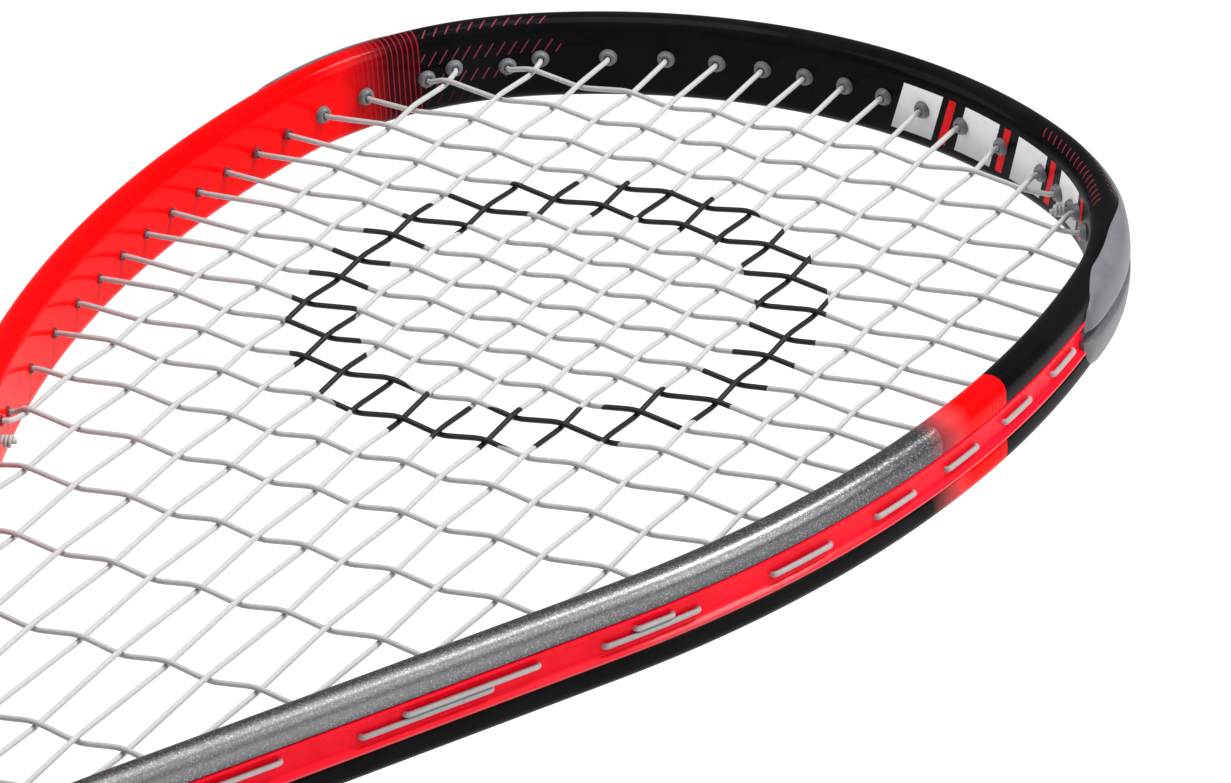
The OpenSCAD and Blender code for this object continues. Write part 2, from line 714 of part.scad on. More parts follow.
// The rubber collar, stepping down in ribs from the grip to the shaft.
module rubber_collar() {
    step_y = handle_l + 0.5;
    top_y = collar_y0 + collar_l;
    lip = grip_t + 0.2 + finish_t;
    color("#0d0d0e") difference() {
        union() {
            along_y(collar_y0, step_y + 1.5) grip_outline(lip + collar_t);
            along_y(step_y + 1.5, step_y + 3.4) grip_outline(lip - 0.6);
            along_y(step_y + 3.4, step_y + 5.6) round_rect(sleeve_w + 8, sleeve_d + 4.4, tube_r + 4);
            along_y(step_y + 5.6, top_y) round_rect(sleeve_w + 4, sleeve_d + 2.8, tube_r + 1.8);
        }
        along_y(collar_y0 - 1, finish_y1 + 0.1) grip_outline(lip);
        along_y(finish_y1, step_y) grip_outline(0.5);
        along_y(step_y - 1, top_y + 1)
            round_rect(sleeve_w + 2 * fit, sleeve_d + 2 * fit, tube_r + sleeve_t);
    }
}

frame_tube();
throat_wedge();
shaft_sleeve();
bumper_guard();
grommet_strip_right();
grommet_strip_left();
throat_grommets();
main_string();
cross_string();
tie_knots();
leg_plugs();
handle_shell_front();
handle_shell_back();
butt_cap();
butt_disc();
butt_staples();
base_tape();
grip_wrap();
finishing_tape();
rubber_collar();
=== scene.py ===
import bpy
import bmesh
from math import acos, asin, atan2, ceil, cos, hypot, pi, radians, sin
from mathutils import Matrix, Vector


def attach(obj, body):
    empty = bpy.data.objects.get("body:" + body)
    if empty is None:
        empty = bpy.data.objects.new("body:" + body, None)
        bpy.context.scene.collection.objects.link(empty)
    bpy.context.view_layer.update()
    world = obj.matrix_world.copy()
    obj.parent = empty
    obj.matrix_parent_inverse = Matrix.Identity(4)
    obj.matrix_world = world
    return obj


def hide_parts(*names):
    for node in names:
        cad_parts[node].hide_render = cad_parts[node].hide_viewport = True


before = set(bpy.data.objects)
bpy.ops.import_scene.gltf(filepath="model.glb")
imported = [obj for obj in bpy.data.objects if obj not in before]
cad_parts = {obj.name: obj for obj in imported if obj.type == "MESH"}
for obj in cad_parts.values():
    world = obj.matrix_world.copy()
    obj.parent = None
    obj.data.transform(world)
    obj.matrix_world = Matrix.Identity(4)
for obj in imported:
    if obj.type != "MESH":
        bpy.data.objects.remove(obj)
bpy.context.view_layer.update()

# ----------------------------------------
# Frame tube. One hollow carbon tube is bent into the teardrop head, and its two legs run
# down side by side as the shaft. It is moulded in one piece, grooved round the outside for
# the grommets, and lacquered black, red and gunmetal under a clear coat.
mm = 0.001
head_width = 213 * mm
tube_width = 7 * mm
tube_depth = 20 * mm
tube_corner = 3.2 * mm
groove_floor = 1.3 * mm
groove_half = 4 * mm
racket_length = 686 * mm
bumper_wall = 1.7 * mm
tip_radius, tip_sweep = 126 * mm, radians(32)
shoulder_radius, side_start = 72 * mm, radians(80.5)
rail_heading = radians(117.3)
throat_radius = 210 * mm
leg_offset = 3.6 * mm
leg_foot = 3.1 * mm


def outward(heading):
    return Vector((sin(heading), cos(heading)))


tip_y = racket_length - bumper_wall - tube_width / 2
tip_centre = Vector((0, tip_y - tip_radius))
shoulder_centre = tip_centre + (tip_radius - shoulder_radius) * outward(tip_sweep)
shoulder_foot = shoulder_centre + shoulder_radius * outward(side_start)
side_radius = (head_width / 2 - tube_width / 2 - shoulder_foot.x) / (1 - sin(side_start))
side_centre = shoulder_foot - side_radius * outward(side_start)
rail_top = side_centre + side_radius * outward(rail_heading)
rail_way = Vector((cos(rail_heading), -sin(rail_heading)))
throat_reach = throat_radius * (1 - sin(rail_heading))
rail_length = (rail_top.x - leg_offset - throat_reach) / -rail_way.x
rail_foot = rail_top + rail_length * rail_way
throat_centre = rail_foot + throat_radius * outward(rail_heading)
run_tip = tip_sweep * tip_radius
run_shoulder = run_tip + (side_start - tip_sweep) * shoulder_radius
run_side = run_shoulder + (rail_heading - side_start) * side_radius
run_rail = run_side + rail_length
run_throat = run_rail + (rail_heading - pi / 2) * throat_radius
run_leg = run_throat + throat_centre.y - leg_foot


# where a distance along the right half of the rim lies, with its outward direction
def rim_site(run):
    if run <= run_tip:
        heading = run / tip_radius
        return tip_centre + tip_radius * outward(heading), heading
    if run <= run_shoulder:
        heading = tip_sweep + (run - run_tip) / shoulder_radius
        return shoulder_centre + shoulder_radius * outward(heading), heading
    if run <= run_side:
        heading = side_start + (run - run_shoulder) / side_radius
        return side_centre + side_radius * outward(heading), heading
    if run <= run_rail:
        return rail_top + (run - run_side) * rail_way, rail_heading
    if run <= run_throat:
        heading = rail_heading - (run - run_rail) / throat_radius
        return throat_centre - throat_radius * outward(heading), heading
    return Vector((leg_offset, throat_centre.y - (run - run_throat))), pi / 2


# distance along the rim, signed by side, and distance outside its centreline
def rim_measure(x, y):
    side, x = (-1 if x < -1e-7 else 1), abs(x)
    here = Vector((x, y))
    heading = atan2(x, y - tip_centre.y)
    if y > tip_centre.y and heading <= tip_sweep:
        return side * heading * tip_radius, (here - tip_centre).length - tip_radius
    heading = atan2(x - shoulder_centre.x, y - shoulder_centre.y)
    if y > shoulder_centre.y and heading <= side_start:
        return (side * (run_tip + (heading - tip_sweep) * shoulder_radius),
                (here - shoulder_centre).length - shoulder_radius)
    heading = atan2(x - side_centre.x, y - side_centre.y)
    if heading <= rail_heading:
        return (side * (run_shoulder + (heading - side_start) * side_radius),
                (here - side_centre).length - side_radius)
    along = (here - rail_top).dot(rail_way)
    if along <= rail_length:
        return side * (run_side + along), (here - rail_top).dot(outward(rail_heading))
    if y > throat_centre.y:
        heading = atan2(throat_centre.x - x, throat_centre.y - y)
        return (side * (run_rail + (rail_heading - heading) * throat_radius),
                throat_radius - (here - throat_centre).length)
    return side * (run_throat + throat_centre.y - y), x - leg_offset


# carry the edges of a section along the right half of the rim
def sweep_rim(bm, edges, start, end, step=2.2 * mm):
    stretches = [(0, run_tip, tip_centre, -1, tip_radius),
                 (run_tip, run_shoulder, shoulder_centre, -1, shoulder_radius),
                 (run_shoulder, run_side, side_centre, -1, side_radius),
                 (run_side, run_rail, None, 0, 0),
                 (run_rail, run_throat, throat_centre, 1, throat_radius),
                 (run_throat, run_leg, None, 0, 0)]
    for a, b, centre, turn, radius in stretches:
        a, b = max(a, start), min(b, end)
        if b - a < 1e-7:
            continue
        count = max(1, ceil((b - a) / step))
        if centre is None:
            way = rail_way if a < run_rail else Vector((0, -1))
            for i in range(count):
                made = bmesh.ops.extrude_edge_only(bm, edges=edges)["geom"]
                edges = [e for e in made if isinstance(e, bmesh.types.BMEdge)
                         and all(v in made for v in e.verts) and not e.link_faces[1:]]
                verts = {v for e in edges for v in e.verts}
                bmesh.ops.translate(bm, verts=list(verts), vec=(*(way * (b - a) / count), 0))
        else:
            made = bmesh.ops.spin(bm, geom=edges + list({v for e in edges for v in e.verts}),
                                  cent=(*centre, 0), axis=(0, 0, 1), dvec=(0, 0, 0),
                                  angle=turn * (b - a) / radius, steps=count,
                                  use_merge=False, use_duplicate=False)["geom_last"]
            edges = [e for e in made if isinstance(e, bmesh.types.BMEdge)]
    return edges


# draw a section as a flat face, round its corners, and stand it on the rim at a distance
def stand_section(bm, outline, corners, run):
    bm.faces.new([bm.verts.new((beyond, 0, z)) for beyond, z in outline])
    for radius, segments, chosen in corners:
        near = [v for v in bm.faces[:][0].verts
                if any(hypot(v.co.x - p[0], v.co.z - p[1]) < 1e-6 for p in chosen)]
        bmesh.ops.bevel(bm, geom=near, offset=radius, offset_type="OFFSET", affect="VERTICES",
                        segments=segments, profile=0.5, material=-1, clamp_overlap=True)
    centre, heading = rim_site(run)
    n = outward(heading)
    place = Matrix(((n.x, -n.y, 0, centre.x), (n.y, n.x, 0, centre.y),
                    (0, 0, 1, 0), (0, 0, 0, 1)))
    bmesh.ops.transform(bm, matrix=place, verts=bm.verts[:])
    return bm.faces[:][0]


# turn a swept bmesh into a shown piece, with the rim measures kept for its paint
def finish_piece(bm, name, finish, angle, measures=True):
    if measures:
        runs, outs = bm.verts.layers.float.new("run"), bm.verts.layers.float.new("out")
        for v in bm.verts:
            v[runs], v[outs] = (value / mm for value in rim_measure(v.co.x, v.co.y))
    mesh = bpy.data.meshes.new(name)
    bm.to_mesh(mesh)
    bm.free()
    piece = bpy.data.objects.new(name, mesh)
    bpy.context.scene.collection.objects.link(piece)
    mesh.materials.append(finish.material)
    for polygon in mesh.polygons:
        polygon.use_smooth = True
    mesh.set_sharp_from_angle(angle=radians(angle))
    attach(piece, "root")
    return piece


# mirror the right half of a piece across the racket and join the two
def both_halves(bm):
    bmesh.ops.mirror(bm, geom=bm.verts[:] + bm.edges[:] + bm.faces[:],
                     matrix=Matrix.Identity(4), merge_dist=1e-6, axis="X")
    bmesh.ops.remove_doubles(bm, verts=bm.verts[:], dist=2e-6)
    bmesh.ops.recalc_face_normals(bm, faces=bm.faces[:])


# how far a value has gone along a stretch, from 0 to 1, and the same with a soft start and stop
def part_way(value, start, reach):
    return max(0, min(1, (value - start) / reach))


def softly(share):
    return share * share * (3 - 2 * share)


# a finish: a material, and small pieces of node graph that each return a socket
flake_scale = 4200


class Finish:
    def __init__(self, name, roughness=0.4, metallic=0.0, coat=0.0, gloss=0.5):
        self.material = bpy.data.materials.new(name)
        self.material.use_nodes = True
        self.tree = self.material.node_tree
        self.shader = self.tree.nodes["Principled BSDF"]
        self.shader.inputs["Roughness"].default_value = roughness
        self.shader.inputs["Metallic"].default_value = metallic
        self.shader.inputs["Coat Weight"].default_value = coat
        self.shader.inputs["Coat Roughness"].default_value = 0.05
        self.shader.inputs["Specular IOR Level"].default_value = gloss
        self.object = self.node("ShaderNodeTexCoord").outputs["Object"]

    def node(self, kind, **settings):
        made = self.tree.nodes.new(kind)
        for key, value in settings.items():
            setattr(made, key, value)
        return made

    def plug(self, socket, value):
        if isinstance(value, bpy.types.NodeSocket):
            self.tree.links.new(value, socket)
        else:
            socket.default_value = value

    def math(self, operation, *values):
        made = self.node("ShaderNodeMath", operation=operation)
        for socket, value in zip(made.inputs, values):
            self.plug(socket, value)
        return made.outputs[0]

    def attribute(self, name):
        return self.node("ShaderNodeAttribute", attribute_name=name).outputs["Fac"]

    def axis(self, letter):
        made = self.node("ShaderNodeSeparateXYZ")
        self.plug(made.inputs[0], self.object)
        return made.outputs[letter]

    def axis_mm(self, letter):
        return self.both(self.axis(letter), 1 / mm)

    def above(self, value, edge):
        return self.math("GREATER_THAN", value, edge)

    def below(self, value, edge):
        return self.math("LESS_THAN", value, edge)

    def within(self, value, low, high):
        return self.both(self.above(value, low), self.below(value, high))

    def both(self, a, b):
        return self.math("MULTIPLY", a, b)

    def either(self, a, b):
        return self.math("MAXIMUM", a, b)

    def rest_of(self, value):
        return self.math("SUBTRACT", 1.0, value)

    def repeat(self, value, pitch):
        return self.math("FRACT", self.math("DIVIDE", value, pitch))

    def far(self, a, b):
        return self.math("SQRT", self.math("ADD", self.both(a, a), self.both(b, b)))

    def ramp(self, value, low, high, to_low=0.0, to_high=1.0):
        made = self.node("ShaderNodeMapRange")
        for socket, given in zip(made.inputs, (value, low, high, to_low, to_high)):
            self.plug(socket, given)
        return made.outputs[0]

    def blend(self, factor, under, over):
        made = self.node("ShaderNodeMix", data_type="RGBA")
        self.plug(made.inputs["Factor"], factor)
        for socket, value in ((made.inputs[6], under), (made.inputs[7], over)):
            self.plug(socket, value if isinstance(value, bpy.types.NodeSocket) else (*value, 1))
        return made.outputs[2]

    def noise(self, scale, detail=3.0, stretch=None, roughness=0.5):
        made = self.node("ShaderNodeTexNoise")
        self.plug(made.inputs["Scale"], scale)
        self.plug(made.inputs["Detail"], detail)
        self.plug(made.inputs["Roughness"], roughness)
        if stretch:
            placed = self.node("ShaderNodeMapping")
            placed.inputs["Scale"].default_value = stretch
            self.plug(placed.inputs[0], self.object)
            self.plug(made.inputs["Vector"], placed.outputs[0])
        else:
            self.plug(made.inputs["Vector"], self.object)
        return made.outputs["Fac"]

    def cells(self, scale):
        made = self.node("ShaderNodeTexVoronoi")
        self.plug(made.inputs["Scale"], scale)
        self.plug(made.inputs["Vector"], self.object)
        return made

    def flakes(self):
        shade = self.node("ShaderNodeSeparateColor")
        self.plug(shade.inputs[0], self.cells(flake_scale).outputs["Color"])
        return self.math("POWER", shade.outputs[0], 6.0)

    def bump(self, height, strength, distance):
        made = self.node("ShaderNodeBump")
        self.plug(made.inputs["Strength"], strength)
        self.plug(made.inputs["Distance"], distance)
        self.plug(made.inputs["Height"], height)
        self.plug(self.shader.inputs["Normal"], made.outputs["Normal"])

    def colour(self, value):
        self.plug(self.shader.inputs["Base Color"], value)

    def tones(self, share, one, other):
        self.colour(self.blend(share, one, other))

    def roughness(self, value):
        self.plug(self.shader.inputs["Roughness"], value)

    def rough_by(self, value, *ends):
        self.roughness(self.ramp(value, *ends))

    def metallic(self, value):
        self.plug(self.shader.inputs["Metallic"], value)

    def coat_node(self, name):
        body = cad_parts[name]
        body.data.materials.clear()
        body.data.materials.append(self.material)


# the lacquer: black over the tip, red down the left rail, a red band and gunmetal on the right
paint_black = (0.0022, 0.0022, 0.0026)
paint_red = (0.80, 0.001, 0.002)
paint_gunmetal = (0.115, 0.116, 0.121)
# silver for the painted highlight along the crown of the gunmetal
highlight_silver = (0.22, 0.22, 0.223)
lacquer = Finish("frame_lacquer", coat=0.04, gloss=0.02)
run, girth = lacquer.attribute("run"), lacquer.attribute("girth")
height = lacquer.axis_mm("Z")
far_run, far_girth = lacquer.math("ABSOLUTE", run), lacquer.math("ABSOLUTE", girth)
# runs, in millimetres from the tip, at which the colours change
red_start, red_stop, band_start, metal_start = 98, 372, 181, 204
sparkle = lacquer.flakes()
cloud = lacquer.noise(60, 4)
gunmetal = lacquer.blend(lacquer.both(sparkle, 0.5), paint_gunmetal, (0.42, 0.42, 0.43))
gunmetal = lacquer.blend(lacquer.ramp(cloud, 0.3, 0.7, 0.0, 0.3), gunmetal, (0.055, 0.055, 0.058))
# painted highlight: silver is laid over the crown of the tube and grows brighter toward the throat,
# and painted shade takes both flanks to near black
crown_highlight = lacquer.math("MINIMUM", lacquer.ramp(far_girth, 12.0, 15.4),
                     lacquer.ramp(far_girth, 20.2, 18.0))
crown_highlight = lacquer.both(crown_highlight, lacquer.ramp(far_run, metal_start, 345, 0.05, 0.80))
flank_shade = lacquer.math("SUBTRACT", 0.75, lacquer.both(crown_highlight, 1.5))
gunmetal = lacquer.blend(flank_shade, gunmetal, (0.026, 0.026, 0.028))
highlight_mist = lacquer.both(crown_highlight, lacquer.ramp(cloud, 0.2, 0.8, 0.75, 1.0))
gunmetal = lacquer.blend(highlight_mist, gunmetal, highlight_silver)
gunmetal = lacquer.blend(lacquer.both(sparkle, 0.4), gunmetal, (0.46, 0.46, 0.47))
black = lacquer.blend(lacquer.ramp(cloud, 0.35, 0.7), paint_black, (0.0050, 0.0048, 0.0056))
red = lacquer.blend(lacquer.ramp(cloud, 0.3, 0.7), paint_red, (0.70, 0.0005, 0.001))
# gunmetal covers the right rail above its middle and the legs; below the middle the rail is left
# black, partly black paint and partly painted shade on its underside
is_metal = lacquer.either(lacquer.both(lacquer.above(run, metal_start), lacquer.above(height, 0.0)),
                          lacquer.above(far_run, red_stop))
coat_colour = lacquer.blend(is_metal, black, gunmetal)
# fine cross lines where one colour gives way to the next
line = lacquer.repeat(run, 1.9)
fine_line = lacquer.below(lacquer.repeat(run, 1.35), 0.2)
left_lines = lacquer.within(run, -122, -red_start)
foot_lines = lacquer.both(lacquer.within(run, -red_stop, -350),
                          lacquer.above(line, lacquer.ramp(run, -red_stop, -351, 0.1, 1.0)))
left_tone = lacquer.blend(lacquer.ramp(run, -121, -106), paint_red, (0.026, 0.0005, 0.002))
left_tone = lacquer.blend(lacquer.both(fine_line, lacquer.ramp(run, -122, -112, 0.0, 0.8)),
                          left_tone, (0.30, 0.015, 0.025))
coat_colour = lacquer.blend(left_lines, coat_colour, left_tone)
left_red = lacquer.both(lacquer.within(run, -red_stop, -red_start),
                        lacquer.rest_of(lacquer.either(left_lines, foot_lines)))
coat_colour = lacquer.blend(left_red, coat_colour, red)
# the right rail's red band, which fades into the gunmetal
band = lacquer.both(lacquer.above(run, band_start), lacquer.ramp(run, 198, 208, 1.0, 0.0))
band_tone = lacquer.blend(lacquer.ramp(run, 194, 205, 0.0, 0.8), red, (0.40, 0.10, 0.11))
band_edge = lacquer.both(lacquer.below(run, 188), fine_line)
band_tone = lacquer.blend(lacquer.both(band_edge, lacquer.ramp(run, 182, 188, 0.75, 0.2)),
                          band_tone, (0.16, 0.002, 0.006))
coat_colour = lacquer.blend(lacquer.both(band, lacquer.below(run, 210)), coat_colour, band_tone)


# rows of short slanting dashes
def dash_row(girth_at, tall, low, high, pitch=2.8, slant=0.7):
    leaning = lacquer.math("SUBTRACT", run, lacquer.both(girth, slant))
    row = lacquer.both(lacquer.within(girth, girth_at - tall / 2, girth_at + tall / 2),
                       lacquer.within(run, low, high))
    return lacquer.both(row, lacquer.below(lacquer.repeat(leaning, pitch), 0.14))


for row, tone in (((10.4, 2.2, -98, -67), (0.20, 0.028, 0.048)),
                  ((3.9, 3.2, -98, -64), (0.20, 0.028, 0.048)),
                  ((-1.8, 2.8, -98, -76), (0.20, 0.028, 0.048)),
                  ((-6.2, 2.4, -98, -84), (0.05, 0.006, 0.01)),
                  ((10.3, 2.2, 67, 104, 2.2, -0.7), (0.22, 0.022, 0.034)),
                  ((15.0, 2.4, 71, 100, 2.2, 0.7), (0.13, 0.05, 0.065))):
    coat_colour = lacquer.blend(dash_row(*row), coat_colour, tone)
# plain slanted blocks inside the head, silver-white with a narrow red one between
block_start, block_stop, block_pitch = 20, 96, 19
lean = lacquer.math("SUBTRACT", run, lacquer.both(girth, 0.35))
phase = lacquer.repeat(lacquer.math("SUBTRACT", lean, block_start), block_pitch)
blocks = lacquer.both(lacquer.within(girth, -6.2, 5.8),
                      lacquer.within(lean, block_start, block_stop))
silver = lacquer.blend(lacquer.ramp(girth, -6, 6), (0.42, 0.42, 0.43), (0.80, 0.80, 0.80))
coat_colour = lacquer.blend(lacquer.both(blocks, lacquer.below(phase, 0.62)), coat_colour, silver)
coat_colour = lacquer.blend(lacquer.both(blocks, lacquer.within(phase, 0.72, 0.84)),
                            coat_colour, (0.62, 0.008, 0.014))
lacquer.colour(coat_colour)
lacquer.metallic(lacquer.both(lacquer.both(is_metal, 0.72),
                              lacquer.rest_of(lacquer.either(left_red, band))))
scuffs = lacquer.noise(900, 6, roughness=0.7)
satin = lacquer.math("SUBTRACT", lacquer.ramp(is_metal, 0, 1, 0.31, 0.34),
                     lacquer.both(left_red, 0.15))
lacquer.roughness(lacquer.math("ADD", satin, lacquer.ramp(scuffs, 0.55, 0.8, 0.0, 0.12)))
lacquer.bump(lacquer.math("ADD", lacquer.both(sparkle, 0.4), cloud), 0.06, 0.0002)

bm = bmesh.new()
w, d, g = tube_width / 2, tube_depth / 2, groove_half
section = [(-w, -d), (w, -d), (w, -g), (groove_floor, -g),
           (groove_floor, g), (w, g), (w, d), (-w, d)]
face = stand_section(bm, section, [(tube_corner, 9, [(-w, -d), (w, -d), (w, d), (-w, d)]),
                                   (0.5 * mm, 3, [(w, -g), (w, g)]),
                                   (0.3 * mm, 2, [(groove_floor, -g), (groove_floor, g)])], 0)
rim_edges = list(face.edges)
bmesh.ops.delete(bm, geom=[face], context="FACES_ONLY")
sweep_rim(bm, rim_edges, 0, run_leg)
# the groove dies out at the throat
groove_stop = run_rail + 0.058 * throat_radius
groove_run_out = 7 * mm
for v in bm.verts:
    along, beyond = rim_measure(v.co.x, v.co.y)
    if along > groove_stop and beyond > -w / 2 and abs(v.co.z) < g + 0.6 * mm:
        share = softly(part_way(along, groove_stop, groove_run_out))
        centre, heading = rim_site(along)
        v.co.x, v.co.y = centre + outward(heading) * (beyond + (w - beyond) * share)
both_halves(bm)
bmesh.ops.holes_fill(bm, edges=[e for e in bm.edges if e.is_boundary], sides=0)
# the girth: how far round the section a point lies from the middle of its inner face
girths = bm.verts.layers.float.new("girth")
core, straight, quarter = w - tube_corner, d - tube_corner, tube_corner * pi / 2
for v in bm.verts:
    beyond = rim_measure(v.co.x, v.co.y)[1]
    tall, sign = abs(v.co.z), (1 if v.co.z >= 0 else -1)
    if beyond < -core and tall > straight:
        measure = straight + tube_corner * atan2(tall - straight, -core - beyond)
    elif beyond < -core:
        measure = tall
    elif beyond <= core:
        measure = straight + quarter + beyond + core
    elif tall > straight:
        turned = tube_corner * atan2(beyond - core, tall - straight)
        measure = straight + quarter + 2 * core + turned
    else:
        measure = straight + 2 * quarter + 2 * core + straight - tall
    v[girths] = sign * measure / mm
frame_piece = finish_piece(bm, "frame_tube_lacquered", lacquer, 50)
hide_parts("frame_tube")

# ----------------------------------------
# Throat wedge and shaft sleeve. A solid infill joins the legs at the foot of the head, and a
# thin carbon sleeve binds them below it. Both are moulded with the frame and lacquered.
wedge_coat = Finish("wedge_lacquer", 0.16, coat=0.6)
wedge_coat.tones(wedge_coat.ramp(wedge_coat.noise(70, 4), 0.35, 0.7),
                 (0.010, 0.010, 0.011), (0.024, 0.023, 0.025))
wedge_coat.rough_by(wedge_coat.noise(900, 5), 0.4, 0.8, 0.12, 0.3)
wedge_coat.coat_node("throat_wedge")

# a red ring near the sleeve's foot breaks up into fine lines above it
ring_low, ring_high, ring_fade = 226, 240, 256
sleeve_coat = Finish("sleeve_lacquer", 0.3, 0.85, coat=0.6)
sleeve_y = sleeve_coat.axis_mm("Y")
sleeve_tone = sleeve_coat.blend(sleeve_coat.flakes(), paint_gunmetal, (0.78, 0.79, 0.82))
sleeve_ring = sleeve_coat.within(sleeve_y, ring_low, ring_high)
sleeve_line = sleeve_coat.above(sleeve_coat.repeat(sleeve_y, 1.9),
                                sleeve_coat.ramp(sleeve_y, ring_high, ring_fade + 1, 0.1, 1.0))
sleeve_line = sleeve_coat.both(sleeve_coat.within(sleeve_y, ring_high, ring_fade), sleeve_line)
sleeve_mark = sleeve_coat.either(sleeve_ring, sleeve_line)
sleeve_coat.tones(sleeve_mark, sleeve_tone, paint_red)
sleeve_coat.metallic(sleeve_coat.ramp(sleeve_mark, 0, 1, 0.85, 0.0))
sleeve_coat.rough_by(sleeve_coat.noise(900, 5), 0.4, 0.8, 0.26, 0.42)
sleeve_coat.coat_node("shaft_sleeve")

# ----------------------------------------
# Bumper guard. A satin grey nylon strip wraps the tip and both shoulders, held in the groove
# by its own barrels, which stand through the tube and carry the strings.
guard_end = 144.5 * mm
string_radius = 0.6 * mm
hole_stagger = 0.66 * mm
barrel_stand, knee_clear = 1.2 * mm, 0.7 * mm
knee_in = tube_width / 2 + barrel_stand + knee_clear
channel_floor, string_play = 0.8 * mm, 0.08 * mm
loop_out = groove_floor + channel_floor + string_radius + string_play
mains_a_side, rows, tip_rows, throat_mains = 7, 21, 4, 2
last_main_lean = 1.5 * mm


# a knee is where a string bends at the lip of its barrel
def knee_of(site):
    return site[0] - knee_in * outward(site[1])


# places on the rim whose knees lie at a given height or width
def site_at_y(y):
    knees = [knee_of(rim_site(r)) for r in (run_tip, run_shoulder, run_side, run_rail)]
    if y >= knees[0].y:
        return rim_site(acos((y - tip_centre.y) / (tip_radius - knee_in)) * tip_radius)
    if y >= knees[1].y:
        heading = acos((y - shoulder_centre.y) / (shoulder_radius - knee_in))
        return rim_site(run_tip + (heading - tip_sweep) * shoulder_radius)
    if y >= knees[2].y:
        heading = acos((y - side_centre.y) / (side_radius - knee_in))
        return rim_site(run_shoulder + (heading - side_start) * side_radius)
    if y >= knees[3].y:
        return rim_site(run_side + (knees[2].y - y) / -rail_way.y)
    heading = acos((throat_centre.y - y) / (throat_radius + knee_in))
    return rim_site(run_rail + (rail_heading - heading) * throat_radius)


def site_at_top(x):
    if x <= knee_of(rim_site(run_tip)).x:
        return rim_site(asin(x / (tip_radius - knee_in)) * tip_radius)
    heading = asin((x - shoulder_centre.x) / (shoulder_radius - knee_in))
    return rim_site(run_tip + (heading - tip_sweep) * shoulder_radius)


def site_at_foot(x):
    if x >= knee_of(rim_site(run_side)).x:
        heading = pi - asin((x - side_centre.x) / (side_radius - knee_in))
        return rim_site(run_shoulder + (heading - side_start) * side_radius)
    if x >= knee_of(rim_site(run_rail)).x:
        return rim_site(run_side + (knee_of(rim_site(run_side)).x - x) / -rail_way.x)
    heading = pi - asin((throat_centre.x - x) / (throat_radius + knee_in))
    return rim_site(run_rail + (rail_heading - heading) * throat_radius)


# the mains spread a little toward the sides, and the last one leans in at its foot
def main_x(k):
    return (10.1 * (k + 0.5) + 0.044 * (k + 0.5) ** 3) * mm


def main_lean(k):
    return last_main_lean if k == mains_a_side - 1 else 0


# the crosses lie wider apart at the tip and toward the throat
row_ys = [racket_length - 32.4 * mm]
row_gap, last_gap, spread_from = 10.35, 19, 11
for n in range(1, rows):
    wider = 2.6 if n <= 2 else 0.9 if n <= 4 else 0
    spread = 0.73 * (n - spread_from) ** 1.55 if n > spread_from else 0
    gap = last_gap if n == rows - 1 else row_gap + wider + spread
    row_ys.append(row_ys[-1] - gap * mm)
top_sites = [site_at_top(main_x(k)) for k in range(mains_a_side)]
foot_sites = [site_at_foot(main_x(k) - main_lean(k)) for k in range(mains_a_side)]
row_sites = [site_at_y(y) for y in row_ys]
tie_top = site_at_y(row_ys[0] - 4.8 * mm)
tie_foot = site_at_y(knee_of(foot_sites[-1]).y - 7.5 * mm)
tie_throat = site_at_y(row_ys[-1] - 20 * mm)


# one barrel: a tapered, round-lipped collar with a bore, turned about its hole's axis
def turn_barrel(bm, site, z, side, radius, mouth, flare, reach):
    face = -tube_width / 2 / mm
    profile = [(-0.4, radius), (face + 0.35, radius), (face - 0.05, radius + flare),
               (face - 0.7 * reach, radius + flare / 3), (face - 1.05 * reach, mouth + 0.08),
               (face - 1.28 * reach, mouth - 0.16), (face - 1.22 * reach, 0.92),
               (face - reach, 0.80), (-0.4, 0.78)]
    centre, heading = site
    n = outward(heading)
    points = [bm.verts.new((centre.x + n.x * a * mm, centre.y + n.y * a * mm, z + r * mm))
              for a, r in profile]
    edges = [bm.edges.new(pair) for pair in zip(points, points[1:])]
    bmesh.ops.spin(bm, geom=points + edges, cent=(centre.x, centre.y, z), axis=(n.x, n.y, 0),
                   dvec=(0, 0, 0), angle=2 * pi, steps=20, use_merge=True, use_duplicate=False)
    # a barrel of the left side is turned on the right and flipped across
    if side < 0:
        for v in bm.verts:
            if v.tag is False and (v.co.xy - centre).length < 7 * mm and abs(v.co.z - z) < 3 * mm:
                v.co.x = -v.co.x
    for v in bm.verts:
        v.tag = True


# radii of the barrel and of its mouth, in millimetres
def add_barrels(bm, holes, radius, mouth, flare=0.28, reach=1.0):
    for v in bm.verts:
        v.tag = True
    for site, z, side in holes:
        turn_barrel(bm, site, z, side, radius, mouth, flare, reach)
    bmesh.ops.recalc_face_normals(bm, faces=bm.faces[:])


guard_nylon = Finish("guard_nylon", 0.42, gloss=0.35)
guard_grain = guard_nylon.noise(2600, 5)
guard_wear = guard_nylon.noise(140, 6, roughness=0.7)
guard_inside = guard_nylon.below(guard_nylon.attribute("out"), -2.0)
guard_tone = guard_nylon.blend(guard_nylon.ramp(guard_wear, 0.42, 0.72),
                               (0.105, 0.107, 0.12), (0.135, 0.138, 0.152))
barrel_tone = guard_nylon.blend(guard_grain, (0.085, 0.087, 0.095), (0.16, 0.163, 0.175))
guard_nylon.tones(guard_inside, guard_tone, barrel_tone)
guard_nylon.rough_by(guard_wear, 0.3, 0.8, 0.32, 0.55)
guard_nylon.bump(guard_grain, 0.12, 0.0002)

